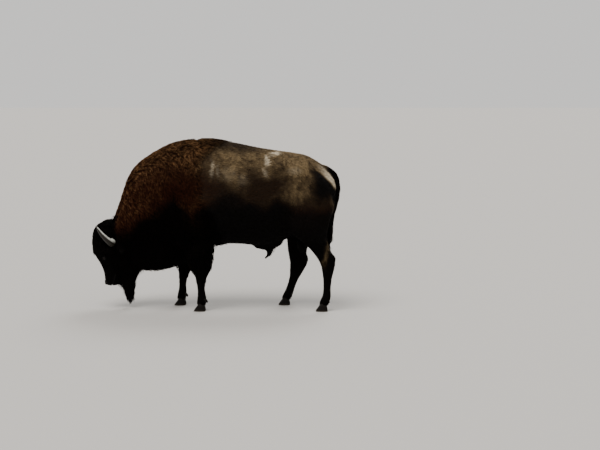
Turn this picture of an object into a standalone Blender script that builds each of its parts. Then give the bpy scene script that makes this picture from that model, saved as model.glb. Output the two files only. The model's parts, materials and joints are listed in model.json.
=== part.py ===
"""An American bison bull, life size, standing with its head lowered to graze.

Metres, +Z up. The animal looks towards -X, its left side is at -Y, and its soles stand on z = 0.
The body is lofted from cross-sections, joined by a voxel remesh, and parted by thin planar cuts.
"""

import math
from collections import namedtuple

import bmesh
import bpy
from mathutils import Matrix, Vector

# Driving dimensions
HUMP_HEIGHT = 1.75  # top of the hump, coat included
BELLY_HEIGHT = 0.655
SHOULDER_HALF_WIDTH = 0.335
BARREL_HALF_WIDTH = 0.37
HIP_HALF_WIDTH = 0.285
HEAD_TOP = 0.86  # crown between the horns
MUZZLE_BOTTOM = 0.232
HOOF_HEIGHT = 0.066
FETLOCK_HEIGHT = 0.125
DEWCLAW_HEIGHT = 0.105
TOE_REACH = 0.083  # toe tip in front of the pastern's middle
EAR_DROOP = 0.018
NEAR, FAR = -1, 1  # sides: the left of the animal is near, at -Y

# Finish of the solids
CUT_GAP = 0.0003
SOCKET_GAP = 0.0004
VOXEL = 0.013
CORE_VOXEL = 0.018
CORE_SOFTENING = 14  # smoothing rounds that blend shoulder and haunch into the barrel
CORE_FACES = 24000
SKIN_FACES = 3900
RING_POINTS = 28

# One cross-section. Pitch 0 stands upright across the X axis; at pitch 90 it lies flat, and up is -X.
Section = namedtuple("Section", "x y z pitch up down side peak")


def section(x, z, up, down, side, pitch=0.0, y=0.0, peak=1.0):
    return Section(x, y, z, pitch, up, down, side, peak)


def slab(x, top, bottom, side, peak=1.0, widest=0.45):
    """An upright section between two heights; widest is the share of the height where it is widest."""
    middle = bottom + (top - bottom) * widest
    return section(x, middle, top - middle, middle - bottom, side, peak=peak)


def flat(z, front, back, side, y=0.0, peak=1.0):
    """A level section, as of a leg or the lowered head, given by where its front and back lie in X."""
    middle = (front + back) / 2
    return section(middle, z, middle - front, back - middle, side, pitch=90.0, y=y, peak=peak)


def smooth_between(sections, steps):
    """Adds sections along a Catmull-Rom curve through the given ones."""
    rows = [tuple(s) for s in sections]
    filled = []
    for i in range(len(rows) - 1):
        before, a, b, after = rows[max(i - 1, 0)], rows[i], rows[i + 1], rows[min(i + 2, len(rows) - 1)]
        for k in range(steps):
            t = k / steps
            filled.append(
                Section(
                    *(
                        0.5
                        * (
                            2 * q
                            + (r - p) * t
                            + (2 * p - 5 * q + 4 * r - s) * t * t
                            + (3 * q - p - 3 * r + s) * t**3
                        )
                        for p, q, r, s in zip(before, a, b, after)
                    )
                )
            )
    filled.append(sections[-1])
    return filled


def shape_ring(verts, s):
    """Moves the points of a unit circle onto a cross-section."""
    pitch = math.radians(s.pitch)
    up = Vector((-math.sin(pitch), 0.0, math.cos(pitch)))
    for v in verts:
        across, rise = v.co.x, v.co.y
        power = s.peak if rise > 0 else 1.0
        side = math.copysign(abs(across) ** power, across) * s.side
        v.co = Vector((s.x, s.y + side, s.z)) + up * (rise * (s.up if rise > 0 else s.down))


def loft(sections, steps=4):
    """A closed skin over the sections, as a bmesh."""
    bm = bmesh.new()
    rings = []
    for s in smooth_between(sections, steps):
        verts = bmesh.ops.create_circle(bm, segments=RING_POINTS, radius=1.0)["verts"]
        edges = list({e for v in verts for e in v.link_edges})
        shape_ring(verts, s)
        rings.append(edges)
    for a, b in zip(rings, rings[1:]):
        bmesh.ops.bridge_loops(bm, edges=a + b)
    bmesh.ops.holes_fill(bm, edges=rings[0] + rings[-1], sides=0)
    bmesh.ops.recalc_face_normals(bm, faces=bm.faces)
    return bm


def ball(centre, radii, turn=(0.0, 0.0, 0.0), detail=3):
    """An ellipsoid, turned by degrees about X, Y and Z."""
    bm = bmesh.new()
    bmesh.ops.create_icosphere(bm, subdivisions=detail, radius=1.0)
    place = Matrix.Translation(centre)
    for axis, degrees in zip("ZYX", reversed(turn)):
        place = place @ Matrix.Rotation(math.radians(degrees), 4, axis)
    bmesh.ops.transform(bm, matrix=place @ Matrix.Diagonal((*radii, 1.0)), verts=bm.verts)
    return bm


def bent_cone(points, radii, points_around=14, squash=1.0):
    """A tapering round form along a curved centreline, with a domed tip."""
    bm = bmesh.new()
    centres = [Vector(p) for p in points]
    rings = []
    for i, (centre, radius) in enumerate(zip(centres, radii)):
        along = (centres[min(i + 1, len(centres) - 1)] - centres[max(i - 1, 0)]).normalized()
        turn = along.to_track_quat("Z", "Y").to_matrix().to_4x4()
        made = bmesh.ops.create_circle(
            bm,
            segments=points_around,
            radius=radius,
            matrix=Matrix.Translation(centre) @ turn @ Matrix.Diagonal((1.0, squash, 1.0, 1.0)),
        )
        rings.append(list({e for v in made["verts"] for e in v.link_edges}))
    for a, b in zip(rings, rings[1:]):
        bmesh.ops.bridge_loops(bm, edges=a + b)
    bmesh.ops.holes_fill(bm, edges=rings[0] + rings[-1], sides=0)
    bmesh.ops.recalc_face_normals(bm, faces=bm.faces)
    return bm


def curve_through(points, steps):
    """Evenly many points on a Catmull-Rom curve through the given ones."""
    fixed = [Vector(p) for p in points]
    found = []
    for i in range(len(fixed) - 1):
        p, q, r, s = fixed[max(i - 1, 0)], fixed[i], fixed[i + 1], fixed[min(i + 2, len(fixed) - 1)]
        for k in range(steps):
            t = k / steps
            found.append(
                0.5
                * (
                    2 * q
                    + (r - p) * t
                    + (2 * p - 5 * q + 4 * r - s) * t * t
                    + (3 * q - p - 3 * r + s) * t**3
                )
            )
    found.append(fixed[-1])
    return found


# ---- the forms of the body ----


def trunk_forms():
    """Neck, hump, barrel and rump in one sweep, the masses of shoulder and haunch, and the chest hair."""
    spine = loft(
        [
            section(-1.01, 0.63, 0.18, 0.20, 0.15, pitch=64),
            section(-0.93, 0.71, 0.225, 0.28, 0.20, pitch=55),
            section(-0.845, 0.80, 0.262, 0.34, 0.245, pitch=46, peak=1.1),
            section(-0.735, 0.91, 0.362, 0.40, 0.285, pitch=38, peak=1.25),
            section(-0.66, 0.97, 0.455, 0.42, 0.305, pitch=32, peak=1.35),
            section(-0.56, 1.04, 0.520, 0.45, 0.320, pitch=25, peak=1.45),
            section(-0.36, 1.12, 0.590, 0.50, SHOULDER_HALF_WIDTH, pitch=10, peak=1.65),
            slab(-0.157, HUMP_HEIGHT, 0.60, 0.345, peak=1.7),
            slab(0.05, 1.738, BELLY_HEIGHT, 0.352, peak=1.55),
            slab(0.25, 1.697, BELLY_HEIGHT + 0.003, BARREL_HALF_WIDTH, peak=1.35),
            slab(0.45, 1.655, BELLY_HEIGHT - 0.013, 0.357, peak=1.2),
            slab(0.62, 1.628, 0.675, 0.320, peak=1.08, widest=0.46),
            slab(0.78, 1.606, 0.74, HIP_HALF_WIDTH, widest=0.50),
            slab(0.92, 1.576, 0.80, 0.275, peak=1.1, widest=0.52),
            slab(1.05, 1.500, 0.84, 0.235, peak=1.15, widest=0.52),
            slab(1.14, 1.418, 0.90, 0.175, peak=1.1, widest=0.52),
            slab(1.205, 1.345, 0.99, 0.105, widest=0.50),
        ]
    )
    apron = loft(
        [
            slab(-0.99, 0.70, 0.44, 0.08, widest=0.6),
            slab(-0.88, 0.85, 0.405, 0.14, widest=0.6),
            slab(-0.72, 1.00, 0.380, 0.180, widest=0.6),
            slab(-0.58, 1.05, 0.395, 0.185, widest=0.6),
            slab(-0.42, 1.05, 0.430, 0.155, widest=0.55),
            slab(-0.28, 1.00, 0.500, 0.120, widest=0.5),
            slab(-0.15, 0.95, 0.580, 0.090, widest=0.5),
        ]
    )
    masses = [spine, apron]
    for side in (NEAR, FAR):
        masses += [
            ball((-0.34, side * 0.205, 1.04), (0.27, 0.145, 0.42), turn=(side * -6, -12, 0)),  # shoulder
            ball((0.93, side * 0.160, 1.12), (0.24, 0.135, 0.30), turn=(0, 14, 0)),  # haunch
            ball((0.80, side * 0.195, 1.40), (0.13, 0.065, 0.10)),  # hook bone
            ball((1.115, side * 0.105, 1.26), (0.095, 0.070, 0.15), turn=(0, -24, 0)),  # pin bone
        ]
    return masses


def head_forms():
    """The head hangs straight down, forehead to the front, with its woolly crown between the horns."""
    skull = loft(
        [
            flat(HEAD_TOP + 0.055, -1.135, -1.00, 0.075),
            flat(HEAD_TOP, -1.215, -0.93, 0.145),
            flat(0.79, -1.258, -0.88, 0.180),
            flat(0.70, -1.268, -0.87, 0.192),
            flat(0.61, -1.275, -0.885, 0.186),
            flat(0.54, -1.250, -0.905, 0.158),
            flat(0.475, -1.207, -0.930, 0.128),
            flat(0.41, -1.180, -0.965, 0.103),
            flat(0.345, -1.166, -0.992, 0.087),
            flat(0.290, -1.160, -1.003, 0.083),
            flat(0.250, -1.146, -1.014, 0.077),
            flat(MUZZLE_BOTTOM, -1.116, -1.036, 0.052),
        ],
        steps=3,
    )
    masses = [skull]
    for side in (NEAR, FAR):
        masses += [
            ball((-1.120, side * 0.120, 0.545), (0.052, 0.036, 0.046)),  # orbit
            ball((-0.985, side * 0.095, 0.535), (0.090, 0.055, 0.095)),  # cheek
            ball((-1.136, side * 0.052, 0.268), (0.030, 0.030, 0.034)),  # nostril
        ]
    masses.append(ball((-1.020, 0, 0.300), (0.050, 0.052, 0.066)))  # lower lip and chin
    return masses


def beard_forms():
    """Long hair under the jaw, hanging straight down as the head is lowered."""
    return [
        loft(
            [
                flat(0.47, -1.00, -0.84, 0.080),
                flat(0.38, -1.00, -0.815, 0.072),
                flat(0.29, -0.995, -0.825, 0.058),
                flat(0.20, -0.98, -0.845, 0.040),
                flat(0.13, -0.96, -0.875, 0.022),
                flat(0.095, -0.93, -0.90, 0.008),
            ],
            steps=3,
        )
    ]


def fore_leg(side, foot_x, lean):
    """Forearm in its long hair, knee, shank and pastern. Lean is how far the elbow lies behind the foot."""
    y = side * 0.185
    x = foot_x

    def across(height):
        return x + lean * (height - FETLOCK_HEIGHT) / 0.7

    def ring(height, front, back, half_width, inward=0.0):
        middle = across(height)
        return flat(height, middle - front, middle + back, half_width, y=y - side * inward)

    return loft(
        [
            ring(0.98, 0.17, 0.17, 0.09, -0.02),
            ring(0.80, 0.165, 0.175, 0.108, -0.01),
            ring(0.65, 0.150, 0.165, 0.108),
            ring(0.54, 0.140, 0.155, 0.100),
            ring(0.46, 0.132, 0.142, 0.090, 0.005),
            ring(0.405, 0.095, 0.110, 0.070, 0.01),
            ring(0.355, 0.062, 0.072, 0.056, 0.015),
            ring(0.305, 0.050, 0.054, 0.044, 0.018),
            ring(0.22, 0.041, 0.043, 0.036, 0.02),
            ring(0.165, 0.043, 0.050, 0.038, 0.02),
            ring(FETLOCK_HEIGHT, 0.050, 0.054, 0.046, 0.02),
            ring(0.09, 0.052, 0.046, 0.046, 0.02),
            ring(0.045, 0.060, 0.042, 0.047, 0.02),
        ],
        steps=3,
    )


def near_hind_leg():
    """The near hind leg is set back, its hock nearly straight."""
    y = NEAR * 0.175
    return [
        loft(
            [
                flat(1.25, 0.78, 1.15, 0.10, y=y),
                flat(1.08, 0.70, 1.190, 0.128, y=y),
                flat(0.92, 0.675, 1.155, 0.132, y=y),
                flat(0.80, 0.730, 1.128, 0.118, y=y),
                flat(0.70, 0.865, 1.130, 0.094, y=y),
                flat(0.62, 0.948, 1.160, 0.072, y=y),
                flat(0.545, 1.005, 1.196, 0.058, y=y),
                flat(0.48, 1.040, 1.208, 0.055, y=y),
                flat(0.42, 1.058, 1.194, 0.050, y=y),
                flat(0.34, 1.070, 1.172, 0.042, y=y),
                flat(0.25, 1.073, 1.160, 0.037, y=y),
                flat(0.17, 1.068, 1.162, 0.040, y=y),
                flat(FETLOCK_HEIGHT, 1.052, 1.158, 0.047, y=y),
                flat(0.09, 1.036, 1.141, 0.046, y=y),
                flat(0.045, 1.020, 1.122, 0.047, y=y),
            ],
            steps=3,
        ),
        ball((1.190, y, 0.535), (0.026, 0.026, 0.045), turn=(0, -10, 0)),  # point of the hock
    ]


def far_hind_leg():
    """The far hind leg is set forward under the flank, its hock bent."""
    y = FAR * 0.175
    return [
        loft(
            [
                flat(1.25, 0.76, 1.14, 0.10, y=y),
                flat(1.08, 0.69, 1.175, 0.128, y=y),
                flat(0.92, 0.665, 1.130, 0.132, y=y),
                flat(0.78, 0.685, 1.050, 0.118, y=y),
                flat(0.68, 0.700, 0.975, 0.094, y=y),
                flat(0.60, 0.706, 0.928, 0.074, y=y),
                flat(0.53, 0.716, 0.920, 0.060, y=y),
                flat(0.455, 0.728, 0.934, 0.055, y=y),
                flat(0.39, 0.732, 0.905, 0.050, y=y),
                flat(0.32, 0.730, 0.862, 0.043, y=y),
                flat(0.25, 0.718, 0.822, 0.037, y=y),
                flat(0.17, 0.692, 0.792, 0.040, y=y),
                flat(FETLOCK_HEIGHT, 0.672, 0.778, 0.047, y=y),
                flat(0.09, 0.654, 0.759, 0.046, y=y),
                flat(0.045, 0.634, 0.738, 0.047, y=y),
            ],
            steps=3,
        ),
        ball((0.915, y, 0.478), (0.026, 0.026, 0.045), turn=(0, 10, 0)),  # point of the hock
    ]


def belly_forms():
    """The sheath with its tuft of hair, and the scrotum between the thighs."""
    return [
        ball((0.52, 0, 0.655), (0.16, 0.055, 0.055), turn=(0, -8, 0)),
        bent_cone(
            curve_through([(0.58, 0, 0.66), (0.54, 0, 0.60), (0.510, 0, 0.55), (0.495, 0, 0.515)], 2),
            [0.045, 0.040, 0.034, 0.030, 0.024, 0.017, 0.009],
        ),
        ball((0.86, 0, 0.66), (0.060, 0.058, 0.105)),
    ]


TAIL_PATH = [
    (1.060, 0, 1.448),
    (1.115, 0, 1.440),
    (1.165, 0, 1.410),
    (1.203, 0, 1.378),
    (1.229, 0, 1.325),
    (1.240, 0, 1.240),
    (1.231, 0, 1.141),
    (1.206, 0, 1.039),
    (1.180, 0, 0.960),
    (1.152, 0, 0.880),
    (1.133, 0, 0.800),
    (1.128, 0, 0.715),
    (1.135, 0, 0.640),
]
TAIL_RADII = [0.046, 0.042, 0.037, 0.033, 0.029, 0.027, 0.026, 0.026, 0.030, 0.036, 0.038, 0.030, 0.006]
FORE_FEET = {NEAR: (-0.155, -0.03), FAR: (-0.385, 0.05)}  # foot and lean, in X


def radii_along(radii, steps):
    """Radii for the points that curve_through adds."""
    found = []
    for a, b in zip(radii, radii[1:]):
        found += [a + (b - a) * k / steps for k in range(steps)]
    return found + [radii[-1]]


# ---- from forms to solids ----


def material(name, colour, roughness, metallic=0.0):
    made = bpy.data.materials.new(name)
    made.use_nodes = True
    shader = made.node_tree.nodes["Principled BSDF"]
    shader.inputs["Base Color"].default_value = (*colour, 1.0)
    shader.inputs["Roughness"].default_value = roughness
    shader.inputs["Metallic"].default_value = metallic
    made.diffuse_color = (*colour, 1.0)
    return made


def add_object(name, bm, finish=None):
    mesh = bpy.data.meshes.new(name)
    bm.to_mesh(mesh)
    bm.free()
    obj = bpy.data.objects.new(name, mesh)
    bpy.context.scene.collection.objects.link(obj)
    if finish:
        mesh.materials.append(finish)
    return obj


def joined(forms):
    """Several closed forms in one bmesh, still overlapping."""
    whole = bmesh.new()
    for bm in forms:
        mesh = bpy.data.meshes.new("form")
        bm.to_mesh(mesh)
        bm.free()
        whole.from_mesh(mesh)
        bpy.data.meshes.remove(mesh)
    return whole


def apply_modifiers(obj):
    """Replaces the object's mesh by what its modifiers make of it."""
    bpy.context.view_layer.update()
    graph = bpy.context.evaluated_depsgraph_get()
    made = bpy.data.meshes.new_from_object(obj.evaluated_get(graph))
    obj.modifiers.clear()
    obj.data = made
    return obj


def melt_together(name, forms, faces, voxel=VOXEL, rounds=5):
    """One smooth closed skin round all the forms, thinned to about so many triangles."""
    obj = add_object(name, joined(forms))
    remesh = obj.modifiers.new("melt", "REMESH")
    remesh.mode = "VOXEL"
    remesh.voxel_size = voxel
    smooth = obj.modifiers.new("soften", "SMOOTH")
    smooth.factor = 0.5
    smooth.iterations = rounds
    apply_modifiers(obj)
    thin = obj.modifiers.new("thin", "DECIMATE")
    thin.ratio = faces / sum(len(p.vertices) - 2 for p in obj.data.polygons)
    return apply_modifiers(obj)


def box(name, low, high, turn=0.0, about=(0.0, 0.0, 0.0)):
    """A cutter between two corners, turned about the Y axis through a point."""
    bm = bmesh.new()
    bmesh.ops.create_cube(bm, size=1.0)
    low, high = Vector(low), Vector(high)
    place = Matrix.Translation((low + high) / 2) @ Matrix.Diagonal((*(high - low), 1.0))
    pivot = Matrix.Translation(about)
    place = pivot @ Matrix.Rotation(math.radians(turn), 4, "Y") @ pivot.inverted() @ place
    bmesh.ops.transform(bm, matrix=place, verts=bm.verts)
    return as_cutter(add_object(name, bm))


def as_cutter(obj):
    obj.hide_render = True
    obj.display_type = "WIRE"
    return obj


def boolean(obj, cutter, operation):
    cut = obj.modifiers.new(operation.lower(), "BOOLEAN")
    cut.operation = operation
    cut.object = cutter
    cut.solver = "EXACT"
    return apply_modifiers(obj)


def grown(cutter, by):
    """A copy of a cutter with every face moved out by a distance."""
    copy = cutter.copy()
    copy.data = cutter.data.copy()
    bpy.context.scene.collection.objects.link(copy)
    bm = bmesh.new()
    bm.from_mesh(copy.data)
    bm.normal_update()
    bmesh.ops.recalc_face_normals(bm, faces=bm.faces)
    moves = {v: v.normal * by * v.calc_shell_factor() for v in bm.verts}
    for v, move in moves.items():
        v.co += move
    bm.to_mesh(copy.data)
    bm.free()
    return as_cutter(copy)


def part_off(body, name, cutter, finish):
    """Cuts what lies inside the cutter off the body as a piece of its own, leaving a thin gap."""
    piece = body.copy()
    piece.data = body.data.copy()
    piece.name = name
    bpy.context.scene.collection.objects.link(piece)
    boolean(piece, cutter, "INTERSECT")
    wider = grown(cutter, CUT_GAP)
    boolean(body, wider, "DIFFERENCE")
    for used in (cutter, wider):
        bpy.data.objects.remove(used)
    return dress(piece, finish)


def dress(obj, finish):
    obj.data.materials.clear()
    obj.data.materials.append(finish)
    for face in obj.data.polygons:
        face.material_index = 0
    obj.data.shade_smooth()
    obj.data.set_sharp_from_angle(angle=math.radians(50))
    return obj


def socket_for(host, guest):
    """Hollows the host where the guest sits in it, with a thin gap all round."""
    wider = grown(guest, SOCKET_GAP)
    boolean(host, wider, "DIFFERENCE")
    bpy.data.objects.remove(wider)


# ---- the separate hard pieces ----


def horn(side, finish):
    """Out to the side from the temple, then up and forward, the tip turned in."""
    path = [
        (-1.060, side * 0.120, 0.708),
        (-1.050, side * 0.190, 0.700),
        (-1.056, side * 0.255, 0.716),
        (-1.082, side * 0.300, 0.752),
        (-1.118, side * 0.320, 0.797),
        (-1.153, side * 0.317, 0.843),
        (-1.181, side * 0.300, 0.884),
    ]
    radii = [0.047, 0.046, 0.042, 0.035, 0.026, 0.016, 0.004]
    name = "horn_left" if side == NEAR else "horn_right"
    bm = bent_cone(curve_through(path, 2), radii_along(radii, 2), points_around=10)
    return dress(add_object(name, bm), finish)


def eye(side, finish):
    name = "eye_left" if side == NEAR else "eye_right"
    return dress(add_object(name, ball((-1.130, side * 0.142, 0.543), (0.0205,) * 3, detail=2)), finish)


def ear(side, finish):
    """A leaf that stands out sideways from behind the horn."""
    base = Vector((-0.965, side * 0.155, 0.655))
    tip = Vector((-0.925, side * 0.330, 0.620))
    along = (0.0, 0.2, 0.45, 0.7, 0.9, 1.0)
    points = [base.lerp(tip, t) - Vector((0, 0, EAR_DROOP * math.sin(math.pi * t))) for t in along]
    radii = [0.026, 0.036, 0.043, 0.036, 0.019, 0.005]
    bm = bent_cone(points, radii, points_around=12, squash=0.55)
    name = "ear_left" if side == NEAR else "ear_right"
    return dress(add_object(name, bm), finish)


def tail(finish):
    """Root and switch, parted where the long hair begins."""
    whole = add_object("tail_root", bent_cone(TAIL_PATH, TAIL_RADII, points_around=10))
    switch = part_off(whole, "tail_switch", box("cut", (1.0, -0.1, 0.5), (1.3, 0.1, 0.93)), finish)
    return dress(whole, finish), switch


def claw(name, toe_x, y, inner, finish):
    """Half of a cloven hoof: flat on the ground and against its fellow, round outside."""
    outward = -inner
    rings = []
    bm = bmesh.new()
    for height, toe, heel, width in (
        (0.0, 0.0, 0.120, 0.050),
        (0.010, 0.001, 0.123, 0.052),
        (HOOF_HEIGHT * 0.55, 0.014, 0.123, 0.050),
        (HOOF_HEIGHT - CUT_GAP, 0.029, 0.119, 0.046),
    ):
        made = bmesh.ops.create_circle(bm, segments=12, radius=1.0)["verts"]
        for v in made:
            along = toe_x + (toe + heel) / 2 + v.co.x * (heel - toe) / 2
            across = v.co.y * (0.82 if v.co.y * outward > 0 else 0.18)
            v.co = Vector((along, y + outward * 0.013 + across * width, height))
        rings.append(list({e for v in made for e in v.link_edges}))
    for a, b in zip(rings, rings[1:]):
        bmesh.ops.bridge_loops(bm, edges=a + b)
    bmesh.ops.holes_fill(bm, edges=rings[0] + rings[-1], sides=0)
    bmesh.ops.recalc_face_normals(bm, faces=bm.faces)
    return dress(add_object(name, bm), finish)


def dewclaw(name, x, y, finish):
    bm = ball((x, y, DEWCLAW_HEIGHT), (0.017, 0.013, 0.021), turn=(0, -25, 0), detail=1)
    return dress(add_object(name, bm), finish)


def foot(label, toe_x, y, leg, finish):
    """Two claws under the pastern and two dewclaws behind it."""
    for place, inner in (("left", 1), ("right", -1)):
        claw(f"claw_{label}_{place}", toe_x, y, inner, finish)
        spur = dewclaw(f"dewclaw_{label}_{place}", toe_x + 0.140, y - inner * 0.024, finish)
        socket_for(leg, spur)


def leg_cuts():
    """For each leg, the box round it below the body, its joint height, toe and midline."""
    near_toe = FORE_FEET[NEAR][0] - TOE_REACH
    far_toe = FORE_FEET[FAR][0] - TOE_REACH
    return {
        "foreleg_left": ((-0.335, -0.60, -0.1), (0.12, -0.075, 0.60), 0.346, near_toe, -0.165),
        "foreleg_right": ((-0.565, 0.075, -0.1), (-0.10, 0.60, 0.60), 0.349, far_toe, 0.165),
        "hindleg_left": ((0.76, -0.60, -0.1), (1.40, -0.068, 0.735), 0.430, 1.000, -0.175),
        "hindleg_right": ((0.66, 0.068, -0.1), (1.40, 0.60, 0.675), 0.410, 0.616, 0.175),
    }


def centre_over_origin():
    """Moves everything so that the bounding box stands centred on the origin with its base at z = 0."""
    solids = [o for o in bpy.data.objects if not o.hide_render]
    corners = [v.co for o in solids for v in o.data.vertices]
    low = Vector([min(c[i] for c in corners) for i in range(3)])
    high = Vector([max(c[i] for c in corners) for i in range(3)])
    shift = Vector((-(low.x + high.x) / 2, -(low.y + high.y) / 2, -low.z))
    for obj in solids:
        obj.data.transform(Matrix.Translation(shift))


def build():
    for obj in list(bpy.data.objects):
        bpy.data.objects.remove(obj)
    coat = material("summer_coat", (0.060, 0.036, 0.020), 0.75)
    wool = material("mane_wool", (0.050, 0.024, 0.012), 0.85)
    dark = material("dark_hair", (0.016, 0.011, 0.009), 0.80)
    horn_finish = material("horn", (0.045, 0.045, 0.045), 0.30)
    hoof = material("hoof", (0.020, 0.018, 0.016), 0.45)
    cornea = material("eye", (0.010, 0.006, 0.004), 0.08)

    core = melt_together("core", trunk_forms(), CORE_FACES, voxel=CORE_VOXEL, rounds=CORE_SOFTENING)
    forms = head_forms() + beard_forms() + belly_forms() + near_hind_leg() + far_hind_leg()
    forms += [fore_leg(side, *FORE_FEET[side]) for side in (NEAR, FAR)]
    merged = bmesh.new()
    merged.from_mesh(core.data)
    bpy.data.objects.remove(core)
    body = melt_together("trunk", forms + [merged], SKIN_FACES)

    below = box("below", (-2, -1, -1), (2, 1, HOOF_HEIGHT))  # the pasterns stop level above the hooves
    boolean(body, below, "DIFFERENCE")
    bpy.data.objects.remove(below)

    part_off(body, "beard", box("cut", (-1.0, -0.14, 0.02), (-0.78, 0.14, 0.415)), wool)
    before_neck = box("cut", (-2, -1, 0.1), (-0.97, 1, 2), turn=-22.5, about=(-0.97, 0, 0.69))
    head = part_off(body, "head", before_neck, dark)
    before_shoulder = box("cut", (-2, -1, 0.1), (-0.60, 1, 2.2), turn=-6, about=(-0.60, 0, 1.0))
    neck = part_off(body, "neck", before_shoulder, wool)
    for label, (low, high, joint, toe_x, y) in leg_cuts().items():
        round_foot = box("cut", (low[0] - 0.1, low[1], low[2]), (high[0], high[1], joint))
        lower = part_off(body, label + "_lower", round_foot, dark)
        part_off(body, label + "_upper", box("cut", low, high), dark)
        foot(label, toe_x, y, lower, hoof)
    part_off(body, "sheath_tuft", box("cut", (0.40, -0.12, 0.4), (0.66, 0.12, 0.600)), dark)
    dress(body, coat)

    for length in tail(dark):
        socket_for(body, length)
    for side in (NEAR, FAR):
        leaf = ear(side, dark)
        socket_for(neck, leaf)
        for guest in (leaf, horn(side, horn_finish), eye(side, cornea)):
            socket_for(head, guest)
    centre_over_origin()


build()
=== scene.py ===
"""The finish of a plains bison bull, life size, standing with its head lowered to graze.

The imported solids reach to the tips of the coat. One skin is made inside them and replaces every
node of flesh; the coat is solid locks of hair that grow from that skin and lie along it. Eyes,
horns and hooves are pieces of their own. Metres, +Z up; the animal looks towards -X and its left
side is at -Y.
"""

import itertools
import json
import math
from typing import NamedTuple

import bmesh
import bpy
import numpy as np
from bpy.props import FloatProperty, FloatVectorProperty, PointerProperty
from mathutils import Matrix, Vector
from mathutils.bvhtree import BVHTree
from mathutils.kdtree import KDTree

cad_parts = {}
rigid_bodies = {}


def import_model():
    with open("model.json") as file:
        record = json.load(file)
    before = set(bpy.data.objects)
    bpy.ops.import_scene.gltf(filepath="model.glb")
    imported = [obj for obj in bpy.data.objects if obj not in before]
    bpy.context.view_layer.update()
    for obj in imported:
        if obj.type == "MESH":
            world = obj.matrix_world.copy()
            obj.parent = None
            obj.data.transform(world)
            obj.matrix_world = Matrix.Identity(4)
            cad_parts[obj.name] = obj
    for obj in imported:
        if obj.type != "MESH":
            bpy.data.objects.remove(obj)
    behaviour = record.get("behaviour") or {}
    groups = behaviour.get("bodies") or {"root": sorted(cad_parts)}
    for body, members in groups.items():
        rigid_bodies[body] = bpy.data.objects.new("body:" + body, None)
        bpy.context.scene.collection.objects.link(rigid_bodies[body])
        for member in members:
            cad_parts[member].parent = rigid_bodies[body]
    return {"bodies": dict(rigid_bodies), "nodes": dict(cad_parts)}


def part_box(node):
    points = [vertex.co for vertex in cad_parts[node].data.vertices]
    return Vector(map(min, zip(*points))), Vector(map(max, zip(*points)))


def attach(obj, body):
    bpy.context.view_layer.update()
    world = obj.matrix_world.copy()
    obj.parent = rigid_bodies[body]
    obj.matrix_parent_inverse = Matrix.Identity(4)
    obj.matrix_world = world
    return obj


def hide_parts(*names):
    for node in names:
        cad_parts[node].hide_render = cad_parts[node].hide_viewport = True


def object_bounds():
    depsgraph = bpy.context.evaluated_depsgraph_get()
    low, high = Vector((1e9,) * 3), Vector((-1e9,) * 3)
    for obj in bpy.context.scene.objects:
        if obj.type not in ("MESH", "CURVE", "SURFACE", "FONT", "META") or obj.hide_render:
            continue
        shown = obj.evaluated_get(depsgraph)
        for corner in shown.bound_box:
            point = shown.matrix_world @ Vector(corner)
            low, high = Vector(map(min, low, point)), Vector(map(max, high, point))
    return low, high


bl_info = {
    "name": "Plains Bison Bull",
    "version": (1, 0, 0),
    "blender": (4, 5, 0),
    "location": "3D Viewport > Sidebar > Bison",
    "description": "Hide, coat, eyes, horns and hooves of a life-size plains bison bull",
    "category": "Add Mesh",
}

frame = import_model()
CAD_LOW, CAD_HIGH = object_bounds()
BODY = next(iter(frame["bodies"]))
SIDES = {-1: "left", 1: "right"}
LEGS = [f"{leg}_{side}" for leg in ("foreleg", "hindleg") for side in SIDES.values()]
PARTS = {
    "trunk": ["trunk"],
    "neck": ["neck"],
    "head": ["head"],
    "beard": ["beard"],
    "ear": ["ear_left", "ear_right"],
    "sheath": ["sheath_tuft"],
    "dock": ["tail_root"],
    "switch": ["tail_switch"],
    "forearm": ["foreleg_left_upper", "foreleg_right_upper"],
    "foreshank": ["foreleg_left_lower", "foreleg_right_lower"],
    "gaskin": ["hindleg_left_upper", "hindleg_right_upper"],
    "hindshank": ["hindleg_left_lower", "hindleg_right_lower"],
}
FLESH = [node for nodes in PARTS.values() for node in nodes]
UP = Vector((0, 0, 1))


def linear(code):
    """An sRGB hex code as linear red, green and blue."""
    channels = [int(code[i : i + 2], 16) / 255 for i in (1, 3, 5)]
    return tuple(c / 12.92 if c <= 0.04045 else ((c + 0.055) / 1.055) ** 2.4 for c in channels)


def add_node(tree, kind, settings=None, links=None):
    """Add a shader node, set its properties and sockets by name or number, and link its inputs."""
    node = tree.nodes.new("ShaderNode" + kind)
    for key, value in (settings or {}).items():
        if isinstance(key, str) and hasattr(node, key):
            setattr(node, key, value)
        else:
            node.inputs[key].default_value = value
    for key, source in (links or {}).items():
        tree.links.new(source, node.inputs[key])
    return node


def colour(name, description, code):
    """A colour property whose default is an sRGB hex code."""
    return FloatVectorProperty(
        name=name, description=description, subtype="COLOR", size=3, min=0, max=1, default=linear(code)
    )


def distance(name, description, metres):
    """A length property in metres."""
    return FloatProperty(
        name=name, description=description, unit="LENGTH", subtype="DISTANCE", min=0, default=metres
    )


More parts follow.
